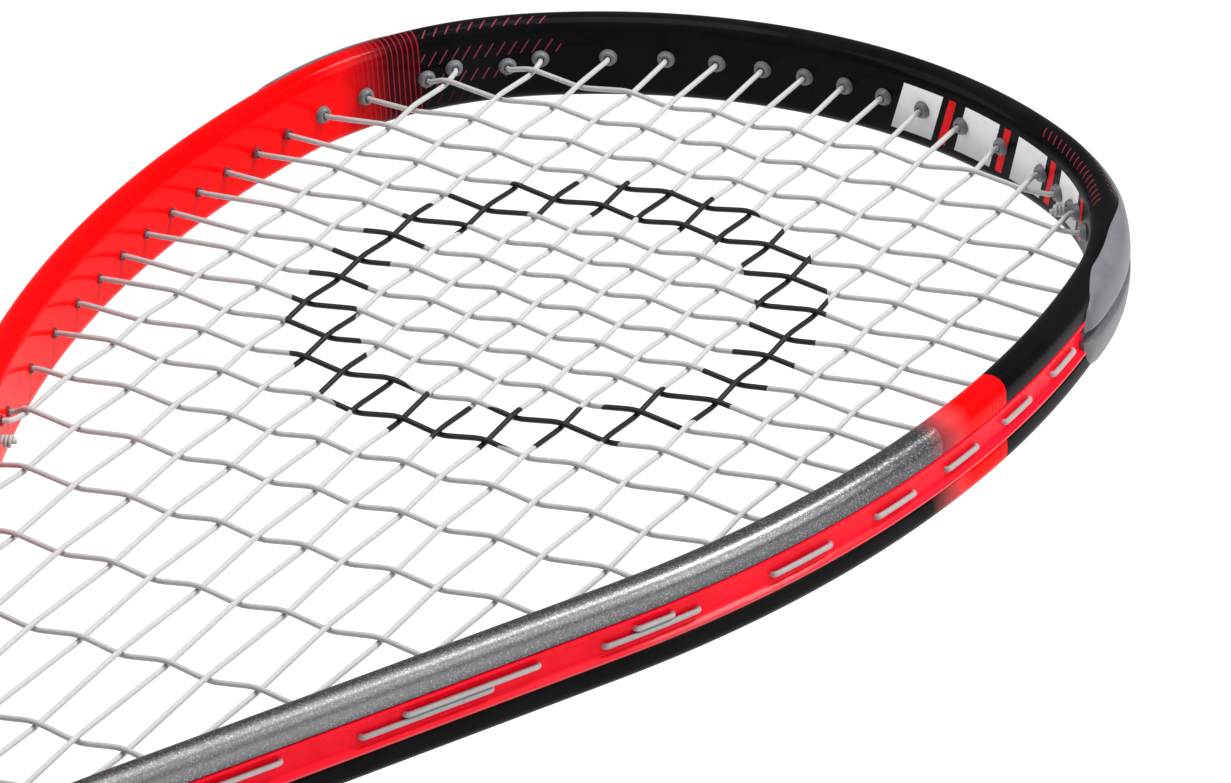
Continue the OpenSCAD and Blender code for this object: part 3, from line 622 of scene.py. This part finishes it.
bm = bmesh.new()
inner, skin = tube_width / 2 + 0.04 * mm, tube_width / 2 + bumper_wall - 0.05 * mm
lip = 1.35 * mm
corner_out, corner_z = tube_width / 2 - tube_corner, tube_depth / 2 - tube_corner
wing = radians(80)
half = [(groove_floor + 0.02 * mm, 3.9 * mm), (inner, 3.9 * mm)]
for share, thick in ((0, 0.04), (0.25, 0.04), (0.5, 0.04), (0.75, 0.04), (1, 0.04),
                     (1, 0.30), (0.75, 0.40), (0.5, 0.55), (0.25, 0.75)):
    level = tube_corner + thick * mm
    half.append((corner_out + level * cos(share * wing), corner_z + level * sin(share * wing)))
half += [(skin - 0.55 * mm, 6.5 * mm), (skin - 0.25 * mm, 5.0 * mm), (skin - 0.05 * mm, 3.4 * mm),
         (skin, lip + 0.5 * mm), (skin - 0.12 * mm, lip + 0.15 * mm), (skin - 0.45 * mm, lip),
         (groove_floor + 0.8 * mm, lip)]
face = stand_section(bm, [(beyond, -z) for beyond, z in half] + half[::-1], [], 0)
guard_edges = list(face.edges)
bmesh.ops.delete(bm, geom=[face], context="FACES_ONLY")
last = sweep_rim(bm, guard_edges, 0, guard_end, 1.2 * mm)
bmesh.ops.holes_fill(bm, edges=last, sides=0)
# wings over the tube's corners widen toward each end, slant away, and close in a rounded tongue
widen_at, widen_over = 92 * mm, 26 * mm
slant_at, slant_over = 132 * mm, 13 * mm
tongue_at, tongue_half = 137 * mm, 3.2 * mm
for v in bm.verts:
    along, beyond = rim_measure(v.co.x, v.co.y)
    centre, heading = rim_site(along)
    side, tall = (1 if v.co.z > 0 else -1), abs(v.co.z)
    widen = softly(part_way(along, widen_at, widen_over))
    slant = part_way(along, slant_at, slant_over)
    spread = (0.15 + 0.85 * widen) * (1 - slant ** 1.5)
    if tall > corner_z + 1e-7 and beyond > corner_out:
        angle = atan2(tall - corner_z, beyond - corner_out) * spread
        reach = hypot(tall - corner_z, beyond - corner_out)
        tall, beyond = corner_z + reach * sin(angle), corner_out + reach * cos(angle)
    close = part_way(along, tongue_at, guard_end - tongue_at)
    close = 1 - (1 - close * close) ** 0.5
    if tall > tongue_half:
        tall += (tongue_half - tall) * 0.9 * close
    beyond += (min(beyond, tube_width / 2 - 0.2 * mm) - beyond) * close
    v.co.x, v.co.y = centre + outward(heading) * beyond
    v.co.z = side * tall
both_halves(bm)
tip_holes = [(s, hole_stagger, side) for s in top_sites for side in (1, -1)]
tip_holes += [(s, -hole_stagger, side) for s in row_sites[:tip_rows] for side in (1, -1)]
tip_holes.append((tie_top, -hole_stagger, 1))
add_barrels(bm, tip_holes, 1.80, 1.62)
guard = finish_piece(bm, "bumper_guard_moulded", guard_nylon, 35)
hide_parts("bumper_guard")

# ----------------------------------------
# Grommet strips. Two red nylon strips lie in the groove down the sides, with two short pieces
# at the throat. Each is a shallow channel with barrels moulded on, pressed in from outside.
strip_start = 142.5 * mm
strip_stop = run_rail - 4 * mm
channel_edge, channel_lip, channel_bed = 3.9 * mm, 3.2 * mm, 2.5 * mm
strip_nylon = Finish("strip_nylon", 0.30, coat=0.05, gloss=0.05)
strip_out, strip_z = strip_nylon.attribute("out"), strip_nylon.axis_mm("Z")
strip_mottle = strip_nylon.noise(220, 5)
strip_tone = strip_nylon.blend(strip_nylon.ramp(strip_mottle, 0.35, 0.7),
                               (0.93, 0.005, 0.024), (0.82, 0.003, 0.014))
# painted highlight: a thin pale line along the strip's lower lip
strip_edge_highlight = strip_nylon.both(strip_nylon.within(strip_z, -3.75, -3.35),
                             strip_nylon.above(strip_out, 3.0))
strip_tone = strip_nylon.blend(strip_edge_highlight, strip_tone, (0.50, 0.09, 0.09))
# the barrels are painted a deep red, darker than the strip, as painted shade round their holes
strip_inside = strip_nylon.below(strip_out, -2.0)
barrel_shade_tone = strip_nylon.blend(strip_mottle, (0.16, 0.012, 0.018), (0.24, 0.05, 0.06))
strip_nylon.tones(strip_inside, strip_tone, barrel_shade_tone)
strip_nylon.rough_by(strip_mottle, 0.3, 0.8, 0.24, 0.42)
strip_nylon.bump(strip_nylon.noise(2600, 4), 0.08, 0.0002)


def strip_channel(bm, start, end):
    base, top = groove_floor + 0.02 * mm, tube_width / 2 + 0.02 * mm
    bed = base + channel_floor
    section = [(base, -channel_edge), (top, -channel_edge), (top, -channel_lip),
               (bed, -channel_bed), (bed, channel_bed), (top, channel_lip),
               (top, channel_edge), (base, channel_edge)]
    corners = [(0.18 * mm, 2, [section[i] for i in (1, 2, 5, 6)]), (0.5 * mm, 3, section[3:5])]
    face = stand_section(bm, section, corners, start)
    ends = sweep_rim(bm, list(face.edges), start, end)
    bmesh.ops.holes_fill(bm, edges=ends, sides=0)
    bmesh.ops.recalc_face_normals(bm, faces=bm.faces[:])


# the two barrels next to the guard stand proud of the tube, the rest lie almost flush
flush_barrel = (1.12, 1.12, 0.06, 0.35)
for side, name in ((1, "right"), (-1, "left")):
    bm = bmesh.new()
    strip_channel(bm, strip_start, strip_stop)
    if side < 0:
        bmesh.ops.scale(bm, vec=(-1, 1, 1), verts=bm.verts[:])
        bmesh.ops.reverse_faces(bm, faces=bm.faces[:])
    holes = [(s, -hole_stagger, side) for s in row_sites[tip_rows:-1]]
    holes += [(s, hole_stagger, side) for s in foot_sites[throat_mains:] + [tie_foot]]
    add_barrels(bm, holes[:2], 1.26, 1.22, 0.12, 0.8)
    add_barrels(bm, holes[2:], *flush_barrel)
    strip = finish_piece(bm, "grommet_channel_" + name, strip_nylon, 35)
    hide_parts("grommet_strip_" + name)

bm = bmesh.new()
strip_channel(bm, strip_stop + 0.1 * mm, groove_stop)
both_halves(bm)
holes = [(row_sites[-1], -hole_stagger, side) for side in (1, -1)]
holes += [(s, hole_stagger, side) for s in foot_sites[:throat_mains] for side in (1, -1)]
add_barrels(bm, holes + [(tie_throat, -hole_stagger, -1)], *flush_barrel)
throat_strip = finish_piece(bm, "grommet_channels_throat", strip_nylon, 35)
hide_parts("throat_grommets")

# ----------------------------------------
# String bed. One string makes the fourteen mains and a second is woven through them as the
# twenty-one crosses. Both are off-white multifilament, tensioned and tied off at the grommets.


# the weave: how far mains and crosses stand from the middle plane where they cross
main_wave, cross_wave = 0.55 * mm, 0.97 * mm


# round each corner of a path: over a long bend in the open bed, a short one at the rim
def eased(points, bend, free_bend=2.2 * mm):
    path = [points[0]]
    for a, b, c in zip(points, points[1:], points[2:]):
        in_bed = rim_measure(b.x, b.y)[1] < -knee_in - 1 * mm
        r = min(free_bend if in_bed else bend, 0.45 * (a - b).length, 0.45 * (c - b).length)
        u, v = b + r * (a - b).normalized(), b + r * (c - b).normalized()
        path += [(1 - t) ** 2 * u + 2 * t * (1 - t) * b + t * t * v
                 for t in (0, 0.25, 0.5, 0.75, 1)]
    return path + [points[-1]]


def knee_point(site, z, side):
    p = knee_of(site)
    return Vector((side * p.x, p.y, z))


def loop_point(site, z, side):
    p = site[0] + loop_out * outward(site[1])
    return Vector((side * p.x, p.y, z))


def along_groove(find, a, b, side, z):
    return [loop_point(find(a + t * (b - a)), z, side) for t in (0.2, 0.4, 0.6, 0.8)]


# +1 where cross j passes over main m, which is numbered outward from the middle
def cross_over(m, j):
    return 1 if (abs(m) + (m > 0) + j) % 2 == 0 else -1


def main_at(k, y):
    top, foot = knee_of(top_sites[k]).y, knee_of(foot_sites[k]).y
    return main_x(k) - main_lean(k) * (top - y) / (top - foot)


def crossing(k, j):
    return (knee_of(row_sites[j]).x > main_at(k, row_ys[j]) + 0.8 * mm
            and knee_of(foot_sites[k]).y < row_ys[j] < knee_of(top_sites[k]).y)


# the points where main k, or cross j, meets the others
def main_run(k, side):
    crossed = [Vector((side * main_at(k, row_ys[j]), row_ys[j],
                       -main_wave * cross_over(side * (k + 1), j)))
               for j in range(rows) if crossing(k, j)]
    return ([knee_point(top_sites[k], hole_stagger, side)] + crossed
            + [knee_point(foot_sites[k], hole_stagger, side)])


def cross_half(j, side):
    return [Vector((side * main_at(k, row_ys[j]), row_ys[j],
                    cross_wave * cross_over(side * (k + 1), j)))
            for k in range(mains_a_side) if crossing(k, j)]


# the trimmed end of a string, pulled in through its hole
def tail_in(site, z, side):
    n = outward(site[1])
    knee = knee_point(site, z, side)
    return [loop_point(site, z, side), knee, knee - 3 * mm * Vector((side * n.x, n.y, 0))]


def main_half(side):
    path, z = [], hole_stagger
    for k in range(mains_a_side):
        top, foot = loop_point(top_sites[k], z, side), loop_point(foot_sites[k], z, side)
        if k % 2 == 0:
            path += [top] + main_run(k, side) + [foot]
            landing = foot_sites[k + 1] if k < mains_a_side - 1 else tie_foot
            path += along_groove(site_at_y, knee_of(foot_sites[k]).y, knee_of(landing).y, side, z)
        else:
            path += [foot] + main_run(k, side)[::-1] + [top]
            path += along_groove(site_at_top, main_x(k), main_x(k + 1), side, z)
    return path + tail_in(tie_foot, z, side)


z = -hole_stagger
cross_path = along_groove(site_at_y, row_ys[0], knee_of(tie_top).y, 1, z) + tail_in(tie_top, z, 1)
cross_path.reverse()
for j in range(rows):
    side = -1 if j % 2 == 0 else 1
    row = ([knee_point(row_sites[j], z, 1)] + cross_half(j, 1)[::-1] + cross_half(j, -1)
           + [knee_point(row_sites[j], z, -1)])
    cross_path += [loop_point(row_sites[j], z, -side)] + (row if j % 2 == 0 else row[::-1])
    cross_path += [loop_point(row_sites[j], z, side)]
    if j < rows - 1:
        cross_path += along_groove(site_at_y, row_ys[j], row_ys[j + 1], side, z)
cross_path += along_groove(site_at_y, row_ys[-1], knee_of(tie_throat).y, -1, z)
cross_path += tail_in(tie_throat, z, -1)
over_tip = Vector((0, tip_y + loop_out, hole_stagger))
main_path = main_half(-1)[::-1] + [over_tip] + main_half(1)


# a string along a path: a round cord turned to mesh
def drawn_string(name, path, radius, finish, node, bend=0.8 * mm):
    curve = bpy.data.curves.new(name + "_line", "CURVE")
    curve.dimensions = "3D"
    curve.bevel_depth = radius
    curve.bevel_resolution = 3
    curve.use_fill_caps = True
    points = eased(path, bend)
    kept = [points[0]] + [b for a, b in zip(points, points[1:]) if (a - b).length > 1e-6]
    spline = curve.splines.new("POLY")
    spline.points.add(len(kept) - 1)
    for point, place in zip(spline.points, kept):
        point.co = (*place, 1)
    holder = bpy.data.objects.new(name + "_line", curve)
    bpy.context.scene.collection.objects.link(holder)
    bpy.context.view_layer.update()
    drawn = holder.evaluated_get(bpy.context.evaluated_depsgraph_get())
    mesh = bpy.data.meshes.new_from_object(drawn)
    bpy.data.objects.remove(holder)
    mesh.materials.clear()
    mesh.materials.append(finish.material)
    for polygon in mesh.polygons:
        polygon.use_smooth = True
    piece = bpy.data.objects.new(name, mesh)
    bpy.context.scene.collection.objects.link(piece)
    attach(piece, "root")
    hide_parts(node)


# off-white string with a slight twist, and a plain black ring stencilled on the bed
ring_centre, ring_inner, ring_outer = 562.0, 42.0, 57.0


def string_finish(name, tone, shade):
    made = Finish(name, 0.36, gloss=0.2)
    distance = made.far(made.axis_mm("X"), made.math("SUBTRACT", made.axis_mm("Y"), ring_centre))
    edge = made.math("ADD", distance, made.ramp(made.noise(160, 1), 0.2, 0.8, -0.5, 0.5))
    ink = made.within(edge, ring_inner, ring_outer)
    strand = made.noise(1400, 3)
    cloth = made.blend(made.ramp(strand, 0.3, 0.7), tone, shade)
    made.tones(ink, cloth, (0.008, 0.008, 0.009))
    made.rough_by(strand, 0.3, 0.7, 0.3, 0.48)
    made.bump(made.noise(3600, 2), 0.10, 0.00015)
    return made


main_finish = string_finish("main_string_filament", (0.42, 0.42, 0.415), (0.37, 0.37, 0.365))
cross_finish = string_finish("cross_string_filament", (0.36, 0.36, 0.36), (0.31, 0.31, 0.31))
drawn_string("main_string_drawn", main_path, string_radius, main_finish,
             "main_string")
drawn_string("cross_string_drawn", cross_path, string_radius, cross_finish,
             "cross_string")

# ----------------------------------------
# Tie-off knots. Each free end of string is wrapped tight round its neighbour just inside the
# frame and pulled down against the grommet barrel; the short tail is trimmed.
knot_turns, knot_steps, knot_length = 2.6, 44, 2.2 * mm
knot_radius, knot_cord = 1.02 * mm, 0.42 * mm
knots = [(tie_top, -hole_stagger, 1, "top"), (tie_foot, hole_stagger, 1, "foot_right"),
         (tie_foot, hole_stagger, -1, "foot_left"), (tie_throat, -hole_stagger, -1, "throat")]
for site, z, side, name in knots:
    n = Vector((side * outward(site[1]).x, outward(site[1]).y, 0))
    across = Vector((-n.y, n.x, 0))
    centre = Vector((side * site[0].x, site[0].y, z))
    coil = []
    for i in range(knot_steps + 1):
        a = 2 * pi * knot_turns * i / knot_steps
        coil.append(centre - n * (knee_in - 0.1 * mm + knot_length * i / knot_steps)
                    + knot_radius * (across * cos(a) + Vector((0, 0, 1)) * sin(a)))
    drawn_string("tie_knot_" + name, coil, knot_cord, cross_finish,
                 "tie_knots", 0.1 * mm)

# ----------------------------------------
# Handle core. Two foam shells are glued round the legs, foam plugs close the tube ends, and a
# thin adhesive tape covers the shells before the grip goes on. All of it is hidden in use.
shell_foam = Finish("shell_foam", 0.8)
shell_foam.tones(shell_foam.noise(700, 5), (0.030, 0.030, 0.033), (0.075, 0.075, 0.08))
shell_foam.bump(shell_foam.cells(1500).outputs["Distance"], 0.4, 0.0004)
plug_foam = Finish("plug_foam", 0.85)
plug_foam.tones(plug_foam.noise(900, 4), (0.66, 0.61, 0.46), (0.76, 0.72, 0.58))
plug_foam.bump(plug_foam.cells(1800).outputs["Distance"], 0.5, 0.0004)
tape_film = Finish("base_tape_film", 0.55)
tape_film.tones(tape_film.noise(400, 4, (1, 0.2, 1)), (0.60, 0.56, 0.42), (0.70, 0.66, 0.52))
tape_film.bump(tape_film.noise(2500, 3, (1, 0.1, 1)), 0.2, 0.0002)
shell_foam.coat_node("handle_shell_front")
shell_foam.coat_node("handle_shell_back")
plug_foam.coat_node("leg_plugs")
tape_film.coat_node("base_tape")

# ----------------------------------------
# Butt cap. A moulded black plastic cap slips over the shells, pinned by a wire staple on each
# side, with a plain red disc let into its end.
cap_plastic = Finish("cap_plastic", 0.45)
cap_plastic.tones(cap_plastic.noise(160, 5), (0.016, 0.016, 0.018), (0.032, 0.032, 0.034))
cap_plastic.rough_by(cap_plastic.noise(60, 4), 0.3, 0.7, 0.36, 0.55)
cap_plastic.bump(cap_plastic.noise(3000, 4), 0.25, 0.0002)
disc_plastic = Finish("disc_plastic", 0.25, coat=0.4)
disc_far = disc_plastic.far(disc_plastic.axis_mm("X"), disc_plastic.axis_mm("Z"))
disc_ring = disc_plastic.within(disc_far, 6.6, 7.2)
disc_red = disc_plastic.blend(disc_plastic.noise(300, 4),
                              (0.62, 0.006, 0.010), (0.52, 0.003, 0.006))
disc_plastic.tones(disc_ring, disc_red, (0.70, 0.70, 0.70))
staple_steel = Finish("staple_steel", 0.28, 1.0)
staple_steel.tones(staple_steel.noise(1200, 4), (0.52, 0.53, 0.55), (0.70, 0.71, 0.72))
staple_steel.rough_by(staple_steel.noise(2600, 4), 0.3, 0.7, 0.2, 0.4)
cap_plastic.coat_node("butt_cap")
disc_plastic.coat_node("butt_disc")
staple_steel.coat_node("butt_staples")

# ----------------------------------------
# Grip. One strip of perforated polyurethane is wound up the handle from the butt cap, each
# turn butted against the last, and its top end is held by a turn of black vinyl tape.
grip_pitch, grip_width = 20 * mm, 19.85 * mm
grip_thick, grip_gap = 1.5 * mm, 0.32 * mm
grip_low, grip_high = 3.3 * mm, 208 * mm
core_half_w, core_half_d, cap_half_w = 14.2 * mm, 11.9 * mm, 15.3 * mm
cap_top, swell_fade = 25 * mm, 11 * mm
wind_radius, turn_length = 14 * mm, 84.0


# the handle's section, a soft-cornered oblong, and its swelling over the butt cap
def grip_radius(angle, lift):
    w, d = core_half_w + grip_gap + lift, core_half_d + grip_gap + lift
    return ((abs(cos(angle)) / w) ** 4 + (abs(sin(angle)) / d) ** 4) ** -0.25


def grip_swell(y):
    fade = part_way(y, cap_top, swell_fade)
    return (cap_half_w - core_half_w) * (1 + cos(pi * fade)) / 2


grip_pu = Finish("grip_polyurethane", 0.55)
grip_u, grip_v = grip_pu.attribute("wound"), grip_pu.attribute("across")
pin_pitch, wide = 3.2, grip_width / mm
pin_far = grip_pu.far(grip_pu.math("SUBTRACT", grip_pu.repeat(grip_u, pin_pitch), 0.5),
                      grip_pu.math("SUBTRACT", grip_pu.repeat(grip_v, pin_pitch), 0.5))
pin_in = grip_pu.within(grip_v, 3.2, 16.6)
# the perforations are painted near black, as painted shade in the holes
pin_hole_shade = grip_pu.both(pin_in, grip_pu.below(pin_far, 0.15))
grip_edge = grip_pu.math("MINIMUM", grip_v, grip_pu.math("SUBTRACT", wide, grip_v))
grip_grain = grip_pu.noise(1500, 6, roughness=0.65)
grip_tone = grip_pu.blend(grip_pu.ramp(grip_grain, 0.3, 0.75),
                          (0.006, 0.006, 0.0065), (0.020, 0.020, 0.021))
grip_tone = grip_pu.blend(grip_pu.below(grip_edge, 1.1), grip_tone, (0.014, 0.014, 0.015))
grip_pu.tones(pin_hole_shade, grip_tone, (0.001, 0.001, 0.001))
grip_pu.rough_by(grip_grain, 0.25, 0.75, 0.42, 0.68)
grip_height = grip_pu.math("ADD", grip_pu.both(grip_grain, 0.25), grip_pu.ramp(grip_edge, 0, 1.3))
pin_dent = grip_pu.both(pin_in, grip_pu.ramp(pin_far, 0.12, 0.24, 1.0, 0.0))
grip_pu.bump(grip_pu.math("SUBTRACT", grip_height, pin_dent), 0.55, 0.0004)

bm = bmesh.new()
edge_in = 0.9 * mm
profile = [(0, 0), (0, grip_thick - 0.35 * mm), (0.25 * mm, grip_thick - 0.1 * mm),
           (edge_in, grip_thick)]
profile += [(grip_width * t, grip_thick) for t in (0.2, 0.4, 0.6, 0.8)]
profile += [(grip_width - a, r) for a, r in reversed(profile[:4])]
begin = grip_low + 1 * mm - grip_width
verts = [bm.verts.new((wind_radius + r, begin + a, 0)) for a, r in profile]
edges = [bm.edges.new(pair) for pair in zip(verts, verts[1:] + verts[:1])]
steps_per_turn = 64
turns = (grip_high - 1 * mm - begin) / grip_pitch
count = int(turns * steps_per_turn)
bmesh.ops.spin(bm, geom=verts + edges, cent=(0, 0, 0), axis=(0, 1, 0),
               dvec=(0, grip_pitch / steps_per_turn, 0), angle=-2 * pi * count / steps_per_turn,
               steps=count, use_merge=False, use_duplicate=False)
bmesh.ops.holes_fill(bm, edges=[e for e in bm.edges if e.is_boundary], sides=0)
wound, across = bm.verts.layers.float.new("wound"), bm.verts.layers.float.new("across")
for v in bm.verts:
    angle = atan2(v.co.z, v.co.x)
    lift = hypot(v.co.x, v.co.z) - wind_radius
    turn = angle / (2 * pi)
    whole = round((v.co.y - begin - grip_width / 2) / grip_pitch - turn)
    base = begin + (whole + turn) * grip_pitch
    # place across the strip, measured from its lower edge, and distance wound
    v[across] = (v.co.y - base) / mm
    v[wound] = (whole + turn) * turn_length
    y = min(grip_high, max(grip_low, v.co.y))
    r = grip_radius(angle, lift + grip_swell(y))
    v.co = Vector((r * cos(angle), y, r * sin(angle)))
bmesh.ops.dissolve_degenerate(bm, dist=1e-6, edges=bm.edges[:])
bmesh.ops.recalc_face_normals(bm, faces=bm.faces[:])
grip = finish_piece(bm, "grip_wrap_wound", grip_pu, 50, measures=False)
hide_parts("grip_wrap")

finish_vinyl = Finish("finishing_vinyl", 0.3)
finish_vinyl.tones(finish_vinyl.noise(200, 4), (0.010, 0.010, 0.011), (0.022, 0.022, 0.023))
finish_vinyl.rough_by(finish_vinyl.noise(90, 4), 0.3, 0.7, 0.22, 0.4)
finish_vinyl.bump(finish_vinyl.noise(500, 3, (1, 6, 1)), 0.25, 0.0002)
finish_vinyl.coat_node("finishing_tape")

# ----------------------------------------
# Collar. A soft black rubber sleeve is rolled down over the end of the tape to keep it from
# lifting.
collar_rubber = Finish("collar_rubber", 0.6)
collar_y = collar_rubber.axis_mm("Y")
collar_rib = collar_rubber.math("SINE", collar_rubber.both(collar_y, 3.4))
collar_rubber.tones(collar_rubber.noise(500, 5), (0.011, 0.011, 0.012), (0.028, 0.028, 0.029))
collar_rubber.rough_by(collar_rubber.noise(250, 5), 0.3, 0.7, 0.48, 0.7)
collar_ribbed = collar_rubber.within(collar_y, 207, 219)
collar_rubber.bump(collar_rubber.both(collar_rib, collar_ribbed), 0.5, 0.0004)
collar_rubber.coat_node("rubber_collar")

# ----------------------------------------
# Studio. A sheet of pale paper is the floor, well below the racket, which is lit softly by
# four large panels. The camera has a long lens and looks along the head from the right.
bm = bmesh.new()
bmesh.ops.create_grid(bm, x_segments=8, y_segments=8, size=8.0)
bmesh.ops.translate(bm, verts=bm.verts[:], vec=(0, 0.3, -0.45))
floor_mesh = bpy.data.meshes.new("studio_floor")
bm.to_mesh(floor_mesh)
bm.free()
floor = bpy.data.objects.new("studio_floor", floor_mesh)
bpy.context.scene.collection.objects.link(floor)
floor_paper = Finish("studio_paper", 0.9)
floor_paper.tones(floor_paper.noise(3, 3), (0.90, 0.90, 0.90), (0.93, 0.93, 0.93))
floor_mesh.materials.append(floor_paper.material)

world = bpy.data.worlds.new("studio_air")
bpy.context.scene.world = world
world.use_nodes = True
air = world.node_tree.nodes["Background"]
air.inputs["Color"].default_value = (1, 1, 1, 1)
air.inputs["Strength"].default_value = 0.38


def panel(name, place, aim, size, power):
    lamp = bpy.data.lights.new(name, "AREA")
    lamp.shape = "RECTANGLE"
    lamp.size, lamp.size_y = size
    lamp.energy = power
    holder = bpy.data.objects.new(name, lamp)
    holder.location = place
    holder.rotation_euler = (Vector(aim) - Vector(place)).to_track_quat("-Z", "Y").to_euler()
    bpy.context.scene.collection.objects.link(holder)


panel("panel_overhead", (-0.2, 0.5, 1.7), (0, 0.5, 0), (1.4, 1.0), 20)
panel("panel_key", (0.7, 1.2, 1.35), (0, 0.5, 0), (0.5, 0.3), 24)
panel("panel_left", (-1.3, -0.1, 0.9), (0, 0.5, 0), (0.9, 1.2), 10)
panel("panel_right", (1.6, 0.9, 0.7), (0.05, 0.5, 0), (0.8, 1.1), 14)

camera_data = bpy.data.cameras.new("studio_camera")
camera_data.sensor_fit = "HORIZONTAL"
camera_data.sensor_width = 36
camera_data.lens = 173.829
camera_data.clip_end = 50
camera = bpy.data.objects.new("studio_camera", camera_data)
camera_place = Vector((0.598981, -0.346130, 0.606422))
camera_right = Vector((0.855089, 0.515940, -0.051203))
camera_up = Vector((-0.220263, 0.450893, 0.864972))
camera_back = Vector((0.469370, -0.728349, 0.499200))
stance = Matrix((camera_right, camera_up, camera_back)).transposed().to_4x4()
camera.matrix_world = Matrix.Translation(camera_place) @ stance
bpy.context.scene.collection.objects.link(camera)
bpy.context.scene.camera = camera
bpy.context.scene.view_settings.view_transform = "Standard"
